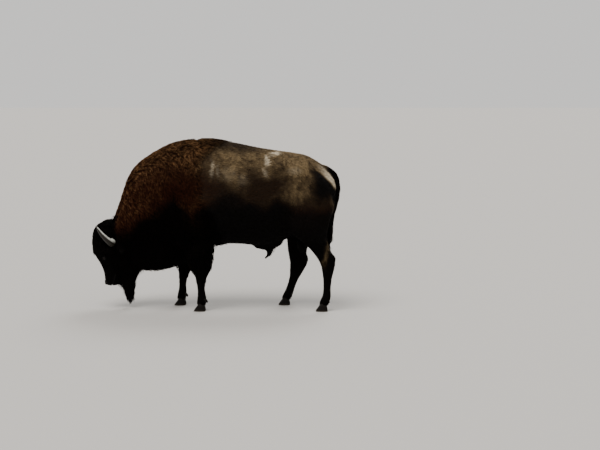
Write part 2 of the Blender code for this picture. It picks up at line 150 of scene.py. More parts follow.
class BisonCoat(bpy.types.PropertyGroup):
    """Depths and colours of the coat."""

    mane_depth: distance("Mane depth", "Depth of the wool on neck, hump and shoulder", 0.028)
    bonnet_depth: distance("Bonnet depth", "Depth of the wool on the forehead", 0.046)
    skirt_depth: distance("Skirt depth", "Depth of the long hair on chest, forelegs and beard", 0.038)
    summer_depth: distance("Summer depth", "Depth of the short coat on barrel and rump", 0.008)
    shank_depth: distance("Shank depth", "Depth of the hair on the face and lower legs", 0.004)
    brown: colour("Brown", "Main brown of the short coat", "#25190f")
    rust: colour("Rust", "Red brown of the mane", "#28130a")
    # Straw and dun are laid on where the coat is bleached and lit: partly the real sun-bleached hair,
    # partly painted highlight on hump, back, croup, thigh and the waves of the neck.
    straw: colour("Straw", "Sun-bleached tips of the mane wool", "#715235")
    dun: colour("Dun", "Sun-bleached short coat of the back", "#7a674a")
    # The rubbed colour is real rubbed and scarred hair, and also paints the highlight on the pin bones.
    rubbed: colour("Rubbed", "Pale rubbed and scarred hair", "#dccdb2")
    # The near black is the real colour of head, legs and belly, and also painted shade over the lower body
    # and in the hollow below the pin bones.
    sable_and_shade: colour("Sable", "Near black of head, legs and belly", "#070403")


class BisonFace(bpy.types.PropertyGroup):
    """Eye and bare skin of the face."""

    lid_gap: distance("Lid gap", "Clearance between eyeball and lids", 0.0006)
    lid_thickness: distance("Lid thickness", "Thickness of the lid at its rim", 0.0026)
    nose: colour("Nose", "Bare moist skin of the muzzle", "#070606")
    iris: colour("Iris", "Iris at its outer edge", "#1d110a")


class BisonHorn(bpy.types.PropertyGroup):
    """Keratin of horns and hooves."""

    ring_spacing: distance("Ring spacing", "Height of one growth ring of the horn", 0.009)
    keratin: colour("Keratin", "Dark body of the horn", "#100e0b")
    upper_highlight: colour("Worn", "Worn grey upper side of the horn", "#d2d4cc")
    # The pale grey of the horn's upper side is a painted highlight of the sky.
    hoof: colour("Hoof", "Hoof wall", "#110e0c")


class BisonStage(bpy.types.PropertyGroup):
    """Floor, lights and camera."""

    camera_distance: distance("Camera distance", "From the camera to the point it looks at", 12.0)
    floor: colour("Floor", "Plain pale floor", "#a3a19e")


# Numbers over many points at once


def ramp(values, start, end):
    """Smooth step: 0 at start and before it, 1 at end and past it, whichever of them is larger."""
    t = np.clip((np.asarray(values) - start) / (end - start), 0, 1)
    return t * t * (3 - 2 * t)


def window(values, low, high, soft):
    """1 between low and high, fading out over a soft edge on either side."""
    return ramp(values, low - soft, low + soft) * ramp(values, high + soft, high - soft)


def blob(points, centre, radii):
    """A soft ellipsoid: 1 at its centre, 0 at its edge."""
    away = np.linalg.norm((points - np.array(centre)) / np.array(radii), axis=1)
    return ramp(away, 1, 0)


def cloud(points, size, seed):
    """Smooth noise from 0 to 1: random values on a lattice of that size, blended between its corners."""
    lattice = np.random.default_rng(seed).random((32, 32, 32))
    place = points / size + 100.5
    cell = np.floor(place).astype(int)
    t = place - cell
    t = t * t * (3 - 2 * t)
    total = np.zeros(len(points))
    for corner in itertools.product((0, 1), repeat=3):
        weight = np.prod(np.where(corner, t, 1 - t), axis=1)
        x, y, z = ((cell + corner) % 32).T
        total += weight * lattice[x, y, z]
    return total


def unit(vectors):
    """Each row scaled to length 1."""
    return vectors / np.maximum(np.linalg.norm(vectors, axis=1), 1e-9)[:, None]


def flattened(vectors, normals):
    """Each row laid flat on the surface with that normal, at length 1."""
    return unit(vectors - normals * np.sum(vectors * normals, axis=1)[:, None])


def sum_per_vertex(values, corners, count):
    """Adds one row of values per corner to the vertex that the corner names."""
    columns = [np.bincount(corners, weights=column, minlength=count) for column in values.T]
    return np.stack(columns, axis=1)


def averaged(values, edges, rounds, share=1.0):
    """Moves each vertex value towards the mean of its neighbours' values, round after round."""
    values = values.reshape(len(values), -1)
    ends = np.concatenate([edges[:, 0], edges[:, 1]])
    others = np.concatenate([edges[:, 1], edges[:, 0]])
    degree = np.maximum(np.bincount(ends, minlength=len(values)), 1)[:, None]
    for _ in range(rounds):
        mean = sum_per_vertex(values[others], ends, len(values)) / degree
        values = values + (mean - values) * share
    return values


def vertex_normals(points, triangles):
    """Area-weighted vertex normals."""
    a, b, c = (points[triangles[:, i]] for i in range(3))
    across = np.cross(b - a, c - a)
    return unit(sum_per_vertex(np.tile(across, (3, 1)), triangles.T.ravel(), len(points)))


def mesh_points(mesh):
    """The mesh's vertices as rows."""
    points = np.empty(len(mesh.vertices) * 3, np.float32)
    mesh.vertices.foreach_get("co", points)
    return points.reshape(-1, 3).astype(float)


def mesh_triangles(mesh):
    """The mesh's triangles as rows of vertex numbers, and as rows of corner numbers."""
    mesh.calc_loop_triangles()
    corners = np.empty(len(mesh.loop_triangles) * 3, np.int32)
    mesh.loop_triangles.foreach_get("loops", corners)
    vertices = np.empty(len(mesh.loop_triangles) * 3, np.int32)
    mesh.loop_triangles.foreach_get("vertices", vertices)
    return vertices.reshape(-1, 3), corners.reshape(-1, 3)


def mesh_edges(mesh):
    """The mesh's edges as rows of two vertex numbers."""
    edges = np.empty(len(mesh.edges) * 2, np.int32)
    mesh.edges.foreach_get("vertices", edges)
    return edges.reshape(-1, 2)


def set_points(mesh, points):
    """Puts the mesh's vertices at those rows."""
    mesh.vertices.foreach_set("co", points.astype(np.float32).ravel())


def set_field(mesh, name, values):
    """Keeps one number per vertex on the mesh, under that name."""
    field = mesh.attributes.get(name) or mesh.attributes.new(name, "FLOAT", "POINT")
    field.data.foreach_set("value", np.asarray(values, np.float32))


def get_field(mesh, name):
    """The numbers kept on the mesh under that name."""
    values = np.empty(len(mesh.vertices), np.float32)
    mesh.attributes[name].data.foreach_get("value", values)
    return values.astype(float)


def new_object(name, mesh):
    """An object of that mesh, in the scene."""
    piece = bpy.data.objects.new(name, mesh)
    bpy.context.scene.collection.objects.link(piece)
    return piece


def as_mesh(bm, name):
    """The bmesh as a mesh of that name. The bmesh is freed."""
    mesh = bpy.data.meshes.new(name)
    bm.to_mesh(mesh)
    bm.free()
    return mesh


def finish_piece(piece, material, replaced=()):
    """Shades a piece smooth, gives it its material and body, and hides the nodes that it stands for."""
    piece.data.shade_smooth()
    piece.data.materials.append(material)
    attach(piece, BODY)
    if replaced:
        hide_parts(*replaced)


# The animal's own landmarks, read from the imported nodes


def middle(node):
    """The middle of a node's box."""
    low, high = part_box(node)
    return (low + high) / 2


HEAD_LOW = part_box("head")[0]
EYE = middle("eye_right")
EYE_RADIUS = (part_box("eye_right")[1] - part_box("eye_right")[0]).z / 2
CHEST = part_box("foreleg_right_upper")[0].x
TAIL_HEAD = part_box("tail_root")[1].z
NOSTRIL = Vector((HEAD_LOW.x + 0.127, 0.054, HEAD_LOW.z + 0.039))


def mirrored(point, side):
    """The point with its Y on that side."""
    return Vector((point[0], abs(point[1]) * side, point[2]))


# Hide


def flesh_mesh():
    """The flesh nodes, copied, merged and joined, and the part that each of its faces comes from."""
    bm = bmesh.new()
    owner = bm.faces.layers.int.new("part")
    for number, nodes in enumerate(PARTS.values()):
        for node in nodes:
            first = len(bm.faces)
            bm.from_mesh(frame["nodes"][node].data)
            bm.faces.ensure_lookup_table()
            for face in bm.faces[first:]:
                face[owner] = number
    bmesh.ops.remove_doubles(bm, verts=bm.verts, dist=0.00002)
    owners = [face[owner] for face in bm.faces]
    tree = BVHTree.FromBMesh(bm)
    return as_mesh(bm, "flesh"), tree, owners


def remeshed(mesh, voxel):
    """The mesh as one closed surface of even quads."""
    source = new_object("flesh", mesh)
    remesh = source.modifiers.new("Remesh", "REMESH")
    remesh.mode = "VOXEL"
    remesh.voxel_size = voxel
    evaluated = source.evaluated_get(bpy.context.evaluated_depsgraph_get())
    result = bpy.data.meshes.new_from_object(evaluated)
    bpy.data.objects.remove(source)
    return result


def part_weights(points, edges, tree, owners):
    """How much each vertex belongs to each part, softened where parts meet."""
    nearest = [owners[tree.find_nearest(Vector(p))[2]] for p in points]
    weights = np.eye(len(PARTS))[nearest]
    return dict(zip(PARTS, averaged(weights, edges, 5).T))


def relaxed(points, edges, part):
    """Takes the facets out of the solids' surface: smoothed broadly on the trunk, lightly on thin parts."""
    broad = ramp(part["trunk"] + part["neck"], 0.4, 1)[:, None]
    gentle = averaged(points, edges, 2, 0.5)
    swelled = points
    for _ in range(14):
        swelled = averaged(swelled, edges, 1, 0.6)
        swelled = averaged(swelled, edges, 1, -0.56)
    return gentle + (swelled - gentle) * broad


def by_height(points, line):
    """Reads a line of (z, x) places at each point's height."""
    return np.interp(points[:, 2], *np.array(line).T)


def by_length(points, line):
    """Reads a line of (x, z) places at each point's place along the body."""
    return np.interp(points[:, 0], *np.array(line).T)


# Where the wool ends behind the shoulder, as (z, x), from the elbow up to the hump.
MANE_EDGE = (
    (0.75, -0.02), (0.95, -0.10), (1.10, -0.14), (1.30, -0.20), (1.45, -0.20), (1.60, -0.12), (1.72, 0.02)
)
# Where the flank turns from brown to near black, as (x, z), from the throat to the buttock.
# Below it the coat is partly the real black of belly and legs, partly painted shade under the body.
DARK_EDGE = (
    (-0.95, 0.80), (-0.85, 0.83), (-0.67, 0.98), (-0.49, 1.12), (-0.38, 1.15), (-0.28, 1.02),
    (-0.20, 0.92), (-0.12, 1.00), (-0.04, 1.11), (0.15, 1.13), (0.32, 1.12), (0.45, 1.09),
    (0.62, 1.09), (0.78, 1.03), (0.92, 1.02), (1.05, 1.01), (1.20, 0.98),
)


def coat_regions(points, part):
    """How much of each kind of coat grows at each vertex."""
    x, _, z = points.T
    torso = part["trunk"] + part["neck"]
    bonnet = part["head"] * ramp(z, EYE.z + 0.05, EYE.z + 0.12)
    jowl = part["head"] * (1 - bonnet) * ramp(x - 0.13 * ramp(z, 0.44, 0.30), EYE.x + 0.05, EYE.x + 0.13)
    apron = torso * ramp(z, 0.84, 0.66) * ramp(x, CHEST + 0.14, CHEST + 0.02)
    chaps = np.maximum(part["forearm"], part["trunk"] * ramp(z, 0.90, 0.74) * window(x, CHEST, 0.0, 0.05))
    wander = (cloud(points, 0.17, 11) - 0.5) * 0.16 + (cloud(points, 0.06, 12) - 0.5) * 0.07
    wool = torso * ramp(x - by_height(points, MANE_EDGE) + wander, 0.13, -0.12) * (1 - apron) * (1 - chaps)
    chin = part["beard"] * ramp(x, -0.97, -1.03)
    summer = np.clip(torso - wool - apron - chaps * part["trunk"], 0, 1)
    return {
        "bonnet": bonnet,
        "jowl": jowl,
        "face": np.clip(part["head"] + chin - bonnet - jowl, 0, 1),
        "ear": part["ear"],
        "beard": part["beard"] - chin,
        "apron": apron,
        "chaps": chaps * (1 - apron),
        "wool": np.maximum(wool, 0),
        "summer": summer,
        "thigh": part["gaskin"],
        "shank": part["foreshank"] + part["hindshank"],
        "coronet": (part["foreshank"] + part["hindshank"]) * ramp(z, 0.150, 0.105),
        "dock": part["dock"],
        "switch": part["switch"],
        "sheath": part["sheath"],
    }


def coat_depths(points, region, sizes):
    """How far the skin lies inside the tips of the coat at each vertex."""
    depth = {
        "bonnet": sizes.bonnet_depth,
        "jowl": sizes.mane_depth,
        "face": sizes.shank_depth * 1.5,
        "ear": sizes.shank_depth * 1.5,
        "beard": sizes.skirt_depth,
        "apron": sizes.skirt_depth,
        "chaps": sizes.skirt_depth,
        "wool": sizes.mane_depth,
        "summer": sizes.summer_depth,
        "thigh": sizes.summer_depth,
        "shank": sizes.shank_depth,
        "coronet": sizes.shank_depth,
        "dock": sizes.shank_depth * 5,
        "switch": sizes.mane_depth * 0.6,
        "sheath": sizes.mane_depth * 0.4,
    }
    total = sum(region.values())
    mixed = sum(region[name] * depth[name] for name in region) / np.maximum(total, 1e-6)
    # The bonnet thins out behind the horns, and the hair round the eyes is short.
    poll = blob(points, (-1.08, 0, 0.92), (0.13, 0.15, 0.13))
    mixed = mixed * (1 - 0.7 * ramp(poll, 0.0, 0.5))
    for side in SIDES:
        near_eye = blob(points, mirrored(EYE, side), (0.085, 0.085, 0.085))
        mixed = mixed + (0.004 - mixed) * ramp(near_eye, 0.0, 0.45)
    return mixed


def thickness(points, normals, tree):
    """How thick the body is under each vertex."""
    reach = 0.6
    through = np.full(len(points), reach)
    for i, (point, normal) in enumerate(zip(points, normals)):
        start = Vector(point) - Vector(normal) * 0.004
        hit = tree.ray_cast(start, -Vector(normal), reach)
        if hit[3] is not None:
            through[i] = hit[3]
    return through


def sunk(points, triangles, edges, depth, steps=5):
    """Moves the surface inwards by its depth, a little at a time."""
    for _ in range(steps):
        points = points - vertex_normals(points, triangles) * (depth / steps)[:, None]
        points = points + (averaged(points, edges, 1) - points) * ramp(depth, 0.004, 0.02)[:, None] * 0.5
    return points


# Bones and pads that show under the short hair of the face: centre, reach and how far each swells.
FACE_FORMS = (
    ((-1.165, 0.128, 0.590), 0.042, 0.010),  # brow
    ((-1.085, 0.140, 0.490), 0.055, 0.008),  # cheekbone below the eye
    ((-1.060, 0.115, 0.430), 0.050, 0.005),  # facial crest
    ((-1.130, 0.095, 0.420), 0.060, -0.009),  # hollow beside the nose bridge
    ((-0.960, 0.120, 0.500), 0.080, 0.010),  # jaw muscle
    ((-1.010, 0.085, 0.400), 0.050, -0.006),  # behind the mouth corner
    ((-1.142, 0.064, 0.283), 0.032, 0.007),  # wing of the nostril
    ((-1.095, 0.078, 0.265), 0.036, 0.006),  # pad of the upper lip
    ((-1.020, 0.040, 0.268), 0.045, 0.006),  # lower lip and chin
)
# Bones and muscles that show through the short summer coat, each with its three radii.
BODY_FORMS = (
    ((0.58, 0.20, 1.45), (0.13, 0.12, 0.11), 0.020),  # point of the hip
    ((0.44, 0.26, 1.22), (0.13, 0.12, 0.18), -0.020),  # hollow of the flank
    ((1.03, 0.13, 1.31), (0.09, 0.09, 0.09), 0.012),  # pin bone
    ((1.00, 0.17, 1.27), (0.10, 0.09, 0.08), -0.020),  # under the pin bone
    ((0.80, 0.24, 1.12), (0.18, 0.12, 0.22), 0.018),  # thigh muscle
    ((0.68, 0.24, 1.32), (0.12, 0.12, 0.09), -0.012),  # between hip and thigh
    ((0.62, 0.26, 0.86), (0.09, 0.09, 0.10), 0.010),  # stifle
    ((-0.02, 0.30, 1.22), (0.07, 0.10, 0.30), -0.010),  # behind the shoulder blade
    ((0.20, 0.10, 1.52), (0.35, 0.07, 0.06), -0.006),  # beside the spine
)
RIB_SPACING = 0.085


def swollen(points, normals, forms):
    """The soft forms of both sides, as moves of each vertex along its normal."""
    move = np.zeros_like(points)
    for centre, radii, swell in forms:
        for side in SIDES:
            move += normals * (blob(points, mirrored(centre, side), radii) * swell)[:, None]
    return move


def head_forms(points, normals):
    """The forms of the face and the flat bridge of the nose, as moves of each vertex."""
    move = swollen(points, normals, FACE_FORMS)
    move[:, 0] -= blob(points, (-1.225, 0, 0.43), (0.08, 0.05, 0.17)) * 0.010
    return move


def body_forms(points, normals):
    """The forms of the body and its slanting ribs, as moves of each vertex."""
    ribs = np.sin((points[:, 0] + points[:, 2] * 0.35) * (2 * math.pi / RIB_SPACING))
    on_ribs = blob(points * (1, 0, 1), (0.22, 0, 1.12), (0.34, 1, 0.34)) * ramp(abs(points[:, 1]), 0.2, 0.3)
    return swollen(points, normals, BODY_FORMS) + normals * (ribs * on_ribs * 0.0022)[:, None]


def finer(bm, chosen):
    """Splits each chosen face's edges once, and rounds what was split."""
    faces = [face for face in bm.faces if chosen(face.calc_center_median())]
    edges = list(dict.fromkeys(edge for face in faces for edge in face.edges))
    bmesh.ops.subdivide_edges(bm, edges=edges, cuts=1, use_grid_fill=True)
    verts = [vert for vert in bm.verts if chosen(vert.co)]
    for _ in range(3):
        bmesh.ops.smooth_vert(
            bm, verts=verts, factor=0.5, use_axis_x=True, use_axis_y=True, use_axis_z=True
        )


def opened(bm, centre, out, long_way, half_long, half_short):
    """Cuts an oval out of the skin and rounds its edge. Returns the edge's edges."""
    short_way = out.cross(long_way).normalized()

    def oval(point):
        away = point - centre
        return Vector((away.dot(long_way) / half_long, away.dot(short_way) / half_short, 0))

    def inside(face):
        point = face.calc_center_median()
        near = (point - centre).length < 2.2 * half_long
        return near and face.normal.dot(out) > 0 and oval(point).length < 1

    bmesh.ops.delete(bm, geom=[face for face in bm.faces if inside(face)], context="FACES")
    edges = [edge for edge in bm.edges if edge.is_boundary]
    for vert in {vert for edge in edges for vert in edge.verts}:
        place = oval(vert.co)
        vert.co += (1 / place.length - 1) * (
            long_way * place.x * half_long + short_way * place.y * half_short
        )
    return edges


def drawn_in(bm, edges, place):
    """Extrudes the open edge once, and puts each new vertex at place(its position)."""
    made = bmesh.ops.extrude_edge_only(bm, edges=edges)["geom"]
    for vert in (item for item in made if isinstance(item, bmesh.types.BMVert)):
        vert.co = place(vert.co)
    return [item for item in made if isinstance(item, bmesh.types.BMEdge) and item.is_boundary]


def in_fixed_order(bm):
    """Sorts the faces by their vertices, so that what is drawn at random over them repeats."""
    count = len(bm.verts)
    bm.verts.index_update()

    def place(face):
        first, second, third = sorted(vert.index for vert in face.verts)[:3]
        return (first * count + second) * count + third

    bm.faces.sort(key=place)


def closed_off(bm, edges):
    """Closes the open edge with a fan."""
    faces = bmesh.ops.holes_fill(bm, edges=edges, sides=0)["faces"]
    bmesh.ops.poke(bm, faces=faces)


LID_LONG = 0.0185  # half length of the opening between the lids
LID_TALL = 0.0125  # half its height


def eye_axes(side):
    """An eye's outward direction and the long way of its opening, from the muzzle end to the ear end."""
    out = Vector((-0.42, 0.90 * side, 0.06)).normalized()
    long_way = Vector((0.28, 0, 0.96))
    return out, (long_way - out * long_way.dot(out)).normalized()


def add_lids(bm, side, face):
    """Cuts the eye opening, draws the skin in to two lids over the eyeball and lines the socket."""
    centre = mirrored(EYE, side)
    out, long_way = eye_axes(side)
    short_way = out.cross(long_way).normalized()
    brow_way = short_way if short_way.x < 0 else -short_way
    rim = EYE_RADIUS + face.lid_gap + face.lid_thickness
    inner = EYE_RADIUS + face.lid_gap

    def angle(point):
        away = point - centre
        return math.atan2(away.dot(short_way), away.dot(long_way))

    def on_ball(point, spread, radius):
        """The lid margin at the point's angle: an almond, pointed at both corners, on a ball."""
        turn = angle(point)
        along = math.cos(turn) * LID_LONG * spread
        across = math.sin(turn) * LID_TALL * spread * (1 - 0.25 * abs(math.cos(turn)) ** 3)
        height = math.sqrt(max(radius**2 - along**2 - across**2, 0.0))
        return centre + long_way * along + short_way * across + out * height

    edges = opened(bm, centre, out, long_way, 0.036, 0.030)
    folds = (0.0012, 0.0022, -0.0030, 0.0016, 0.0014, 0.0)
    for step, fold in enumerate(folds):
        share = 1 / (len(folds) - step)

        def lid(point):
            towards_brow = 0.5 + 0.5 * max(-1, min(1, (point - centre).dot(brow_way) / 0.02))
            return point.lerp(on_ball(point, 1.0, rim), share) + out * fold * (0.3 + 0.7 * towards_brow)

        edges = drawn_in(bm, edges, lid)
    edges = drawn_in(bm, edges, lambda point: on_ball(point, 0.965, (rim + inner) / 2 + 0.0004))
    edges = drawn_in(bm, edges, lambda point: on_ball(point, 0.97, inner))
    edges = drawn_in(bm, edges, lambda point: on_ball(point, 1.06, inner))

    def behind(reach, depth):
        def place(point):
            turn = angle(point)
            flat = long_way * math.cos(turn) + short_way * math.sin(turn)
            return centre + flat * reach * EYE_RADIUS + out * depth * EYE_RADIUS

        return place

    for reach, depth in ((1.05, 0.1), (0.95, -0.55), (0.5, -1.0)):
        edges = drawn_in(bm, edges, behind(reach, depth))
    closed_off(bm, edges)


def add_nostril(bm, side):
    """Cuts a nostril with a raised wing, and draws its wall up into the nose."""
    centre = mirrored(NOSTRIL, side)
    out = Vector((-0.80, 0.52 * side, -0.30)).normalized()
    long_way = Vector((-0.25, 0.45 * side, 0.86))
    long_way = (long_way - out * long_way.dot(out)).normalized()
    inward = Vector((0.45, -0.35 * side, 0.82)).normalized()
    edges = opened(bm, centre, out, long_way, 0.024, 0.015)
    edges = drawn_in(bm, edges, lambda point: point.lerp(centre, 0.06) + out * 0.0035)
    edges = drawn_in(bm, edges, lambda point: point.lerp(centre, 0.10) + out * 0.0010)
    for depth in (0.004, 0.008, 0.012, 0.014):
        edges = drawn_in(bm, edges, lambda point: point.lerp(centre, 0.07) + inward * depth)
    closed_off(bm, edges)


def off_lips(points):
    """How far each point is from the slit between the lips, along the body."""
    return np.abs(points[:, 0] - (-1.078 + (points[:, 2] - HEAD_LOW.z) * 0.28))


def mouth_groove(points, normals):
    """The slit between the lips, and the folds at its corners, as moves of each vertex."""
    across = off_lips(points)
    length = ramp(points[:, 2], HEAD_LOW.z + 0.150, HEAD_LOW.z + 0.110)
    depth = ramp(across, 0.0075, 0.0) * 0.011 - ramp(np.abs(across - 0.012), 0.010, 0.0) * 0.0022
    return -normals * (depth * length)[:, None]


def ear_cup(points, normals, side):
    """The hollow of an ear on its forward side, as moves of each vertex."""
    root, tip = mirrored((-0.965, 0.165, 0.655), side), mirrored((-0.925, 0.330, 0.620), side)
    axis = tip - root
    facing = Vector((-0.80, 0.10 * side, -0.55))
    facing = (facing - axis * (facing.dot(axis) / axis.length_squared)).normalized()
    across = axis.normalized().cross(facing)
    away = points - np.array(root)
    along = away @ np.array(axis) / axis.length_squared
    aside = np.abs(away @ np.array(across))
    looks = ramp(normals @ np.array(facing), 0.2, 0.8)
    hollow = window(along, 0.22, 0.90, 0.10) * ramp(aside, 0.026, 0.010) * looks
    return -np.outer(hollow * 0.013, np.array(facing))


def bare_skin(points, face):
    """Where no hair grows: the moist end of the muzzle, the lips, the lid rims and the nostrils."""
    x, y, z = points.T
    front = ramp(x + z * 0.25, -1.055, -1.070) * ramp(np.abs(y), 0.066, 0.052)
    nose = front * ramp(z, 0.312, 0.296) * ramp(z, 0.232, 0.240)
    lips = ramp(off_lips(points), 0.013, 0.007) * ramp(z, HEAD_LOW.z + 0.15, HEAD_LOW.z + 0.12) * face
    bare = np.maximum(nose, lips)
    for side in SIDES:
        out = np.array(eye_axes(side)[0])
        away = np.linalg.norm(points - np.array(mirrored(EYE, side)) - out * EYE_RADIUS * 0.6, axis=1)
        bare = np.maximum(bare, ramp(away, 0.026, 0.020))
        wing = np.linalg.norm(points - np.array(mirrored(NOSTRIL, side)), axis=1)
        bare = np.maximum(bare, ramp(wing, 0.036, 0.028))
    return bare


# Patches where the coat is lighter, or darker, than around it, as (x, z), half length, half height and
# strength:
# partly sun-bleached hair, partly painted light on hump, loin, croup, thigh, gaskin and rear edge, and
# painted shade behind the shoulder blade, in the flank hollow and between hip and thigh.
PATCHES = (
    (-0.12, 1.36, 0.14, 0.26, -0.15), (0.15, 1.45, 0.20, 0.20, 0.15), (0.42, 1.58, 0.22, 0.12, 0.24),
    (0.47, 1.31, 0.20, 0.18, -0.35), (0.02, 1.27, 0.16, 0.12, -0.15), (0.62, 1.32, 0.18, 0.14, -0.35),
    (0.78, 1.55, 0.30, 0.16, 0.32), (0.86, 1.44, 0.18, 0.14, 0.52), (0.79, 1.22, 0.20, 0.19, 0.32),
    (1.10, 0.62, 0.06, 0.20, 1.10), (1.17, 1.04, 0.04, 0.20, 0.35), (-0.30, 1.56, 0.26, 0.16, 0.48),
    (-0.62, 1.30, 0.26, 0.28, 0.12), (-0.76, 1.12, 0.20, 0.18, 0.36), (-0.90, 0.97, 0.16, 0.16, 0.35),
    (-0.45, 1.22, 0.20, 0.20, -0.12), (-0.26, 1.02, 0.14, 0.20, 0.25), (-0.30, 1.30, 0.18, 0.16, -0.12),
)
# Rubbed and scarred spots of either side: centre, half sizes and strength.
SCARS = (
    ((0.590, -0.12, 1.595), (0.080, 0.16, 0.028), 1.0), ((0.518, -0.18, 1.515), (0.025, 0.14, 0.090), 1.0),
    ((0.490, -0.24, 1.410), (0.030, 0.14, 0.060), 0.3), ((-0.035, -0.26, 1.45), (0.022, 0.16, 0.130), 0.34),
    ((0.025, -0.26, 1.430), (0.018, 0.16, 0.120), 0.16),
    ((0.140, -0.28, 1.400), (0.110, 0.14, 0.110), 0.06),
    ((0.270, -0.28, 1.350), (0.080, 0.14, 0.090), 0.06),
    ((0.800, -0.20, 1.420), (0.110, 0.14, 0.050), 0.15), ((0.080, 0.26, 1.420), (0.045, 0.16, 0.110), 0.35),
    ((0.640, 0.20, 1.500), (0.080, 0.12, 0.030), 0.5), ((0.300, 0.28, 1.300), (0.060, 0.14, 0.090), 0.2),
)


def drifted(points, amount, size, seed):
    """The points shifted by soft noise, so that a patch read there gets an uneven edge."""
    shift = [cloud(points, size, seed + axis) - 0.5 for axis in range(3)]
    return points + np.stack(shift, axis=1) * amount


def markings(points):
    """Where the coat is bleached, red, rubbed pale or near black, at each point of hide or root."""
    near = drifted(points, 0.035, 0.040, 21)
    far = drifted(near, 0.14, 0.140, 24)
    x, y, z = near.T
    over_dark = far[:, 2] - by_length(far, DARK_EDGE)
    # Below the dark edge the coat turns near black: partly the real black of belly and legs, partly painted
    # shade under the body.
    low = ramp(over_dark, 0.13, -0.05) * (1 - 0.08 * window(x, 0.72, 1.20, 0.10) * ramp(z, 0.78, 0.95))
    head = ramp(points[:, 0] + points[:, 2] * 0.55, -0.50, -0.56)
    dock = ramp(np.abs(y), 0.070, 0.045) * ramp(points[:, 0], 1.08, 1.14) * ramp(z, 0.60, 0.70)
    ridge = ramp(z - (1.74 - 0.30 * np.maximum(x, 0)), -0.15, -0.05) * window(x, -0.14, 0.42, 0.14)
    ridge *= ramp(np.abs(y), 0.20, 0.08)
    # Behind the hip a slanting edge parts a painted highlight on the pin bone from painted shade in the
    # hollow below.
    over_edge = points[:, 2] + (z - points[:, 2]) * 0.4 - (1.49 - (points[:, 0] - 0.957))
    hollow_shade = ramp(over_edge, 0.006, -0.020) * ramp(x, 0.90, 1.05) * ramp(far[:, 2], 1.04, 1.20)
    # Near black: the real black of head, dock and spine ridge, and painted shade on the lower body and in
    # the hollow under the pin bone.
    deep = np.maximum.reduce([low, head, ridge * 0.25, hollow_shade, dock])
    # The pale patch over the pin bone is a painted highlight.
    pin = window(over_edge, 0.010, 0.12, 0.014) * ramp(x, 1.00, 1.14) * ramp(np.abs(y), 0.03, 0.06)
    scars = np.zeros(len(points))
    for centre, radii, strength in SCARS:
        scars = np.maximum(scars, np.clip(blob(near, centre, radii) * 1.6, 0, 1) * strength)
    speckle = 0.55 + 0.95 * cloud(points * (1.6, 1.6, 1.0), 0.025, 27)
    # The pin bone's painted highlight is stronger on the left, the lit side; the scars are real rubbed
    # hair.
    pale = np.maximum(pin * np.where(y < 0, 0.8, 0.32), scars) * speckle

    mane = ramp(x, 0.15, -0.25)
    # The coat is lighter higher up the flank and on top of the hump: partly sun-bleached hair, partly
    # painted light from above.
    bleach_and_light = ramp(over_dark, -0.02, 0.52) * (0.62 - 0.42 * mane)
    bleach_and_light += 0.6 * mane * ramp(np.abs(y), 0.20, 0.05) * ramp(over_dark, 0.05, 0.25)
    for along, high, long_half, tall_half, strength in PATCHES:
        bleach_and_light += blob(far * (1, 0, 1), (along, 0, high), (long_half, 1, tall_half)) * strength
    # The bleached and lit coat is streaked down the ribs and thigh. Across the neck it is banded with
    # painted highlight and painted shade, as light falls on waves of wool.
    streak = 0.5 * cloud(points * (2.6, 2.6, 0.8), 0.075, 30)
    streak += 0.8 * cloud(points * (2.0, 2.0, 0.8), 0.030, 31)
    crest = np.sin((x * 0.57 + z * 0.82) * 2 * math.pi / 0.050 + 3 * cloud(points, 0.10, 32))
    banded = ramp(x, -0.52, -0.66) * ramp(z, 1.40, 1.25)
    behind_mane = window(far[:, 0] - by_height(far, MANE_EDGE), -0.02, 0.16, 0.10)
    bleach_and_light = bleach_and_light * np.clip(1 + 2.4 * (streak - 0.65), 0.2, 1.8) * (1 - 0.38 * behind_mane)
    bleach_and_light = bleach_and_light * (1 - banded * (0.50 - 0.62 * crest))
    bleach_and_light = np.clip(bleach_and_light * (1 - hollow_shade) * (1 - head) * (1 - dock) * (1 - 0.8 * ridge), 0, 1)
    rust = ramp(x, 0.12, -0.30) * ramp(far[:, 2], 1.80, 1.25)
    rust = np.maximum(rust, 0.9 * window(far[:, 2], 0.76, 1.06, 0.10) * ramp(x, 0.40, 0.70))
    return {
        "bleach_and_light": bleach_and_light,
        "rust": np.clip(rust, 0, 1),
        "pale": np.clip(pale * (1 - dock), 0, 1),
        "deep": np.clip(deep * (1 - 0.45 * bleach_and_light), 0, 1),
    }


def unwrapped(hide):
    """Unwraps the hide on its own shape, in the map that the coat's tufts are placed on."""
    hide.data.uv_layers.new(name="OFBake")
    bpy.context.view_layer.objects.active = hide
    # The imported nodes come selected, and would take up nearly all of the map.
    bpy.ops.object.select_all(action="DESELECT")
    hide.select_set(True)
    bpy.ops.object.mode_set(mode="EDIT")
    bpy.ops.mesh.select_all(action="SELECT")
    bpy.ops.uv.smart_project(angle_limit=math.radians(66), island_margin=0.002)
    bpy.ops.object.mode_set(mode="OBJECT")
    hide.select_set(False)


HIDE_FACE = 0.0128  # edge of the hide's faces, before those of the head are made finer


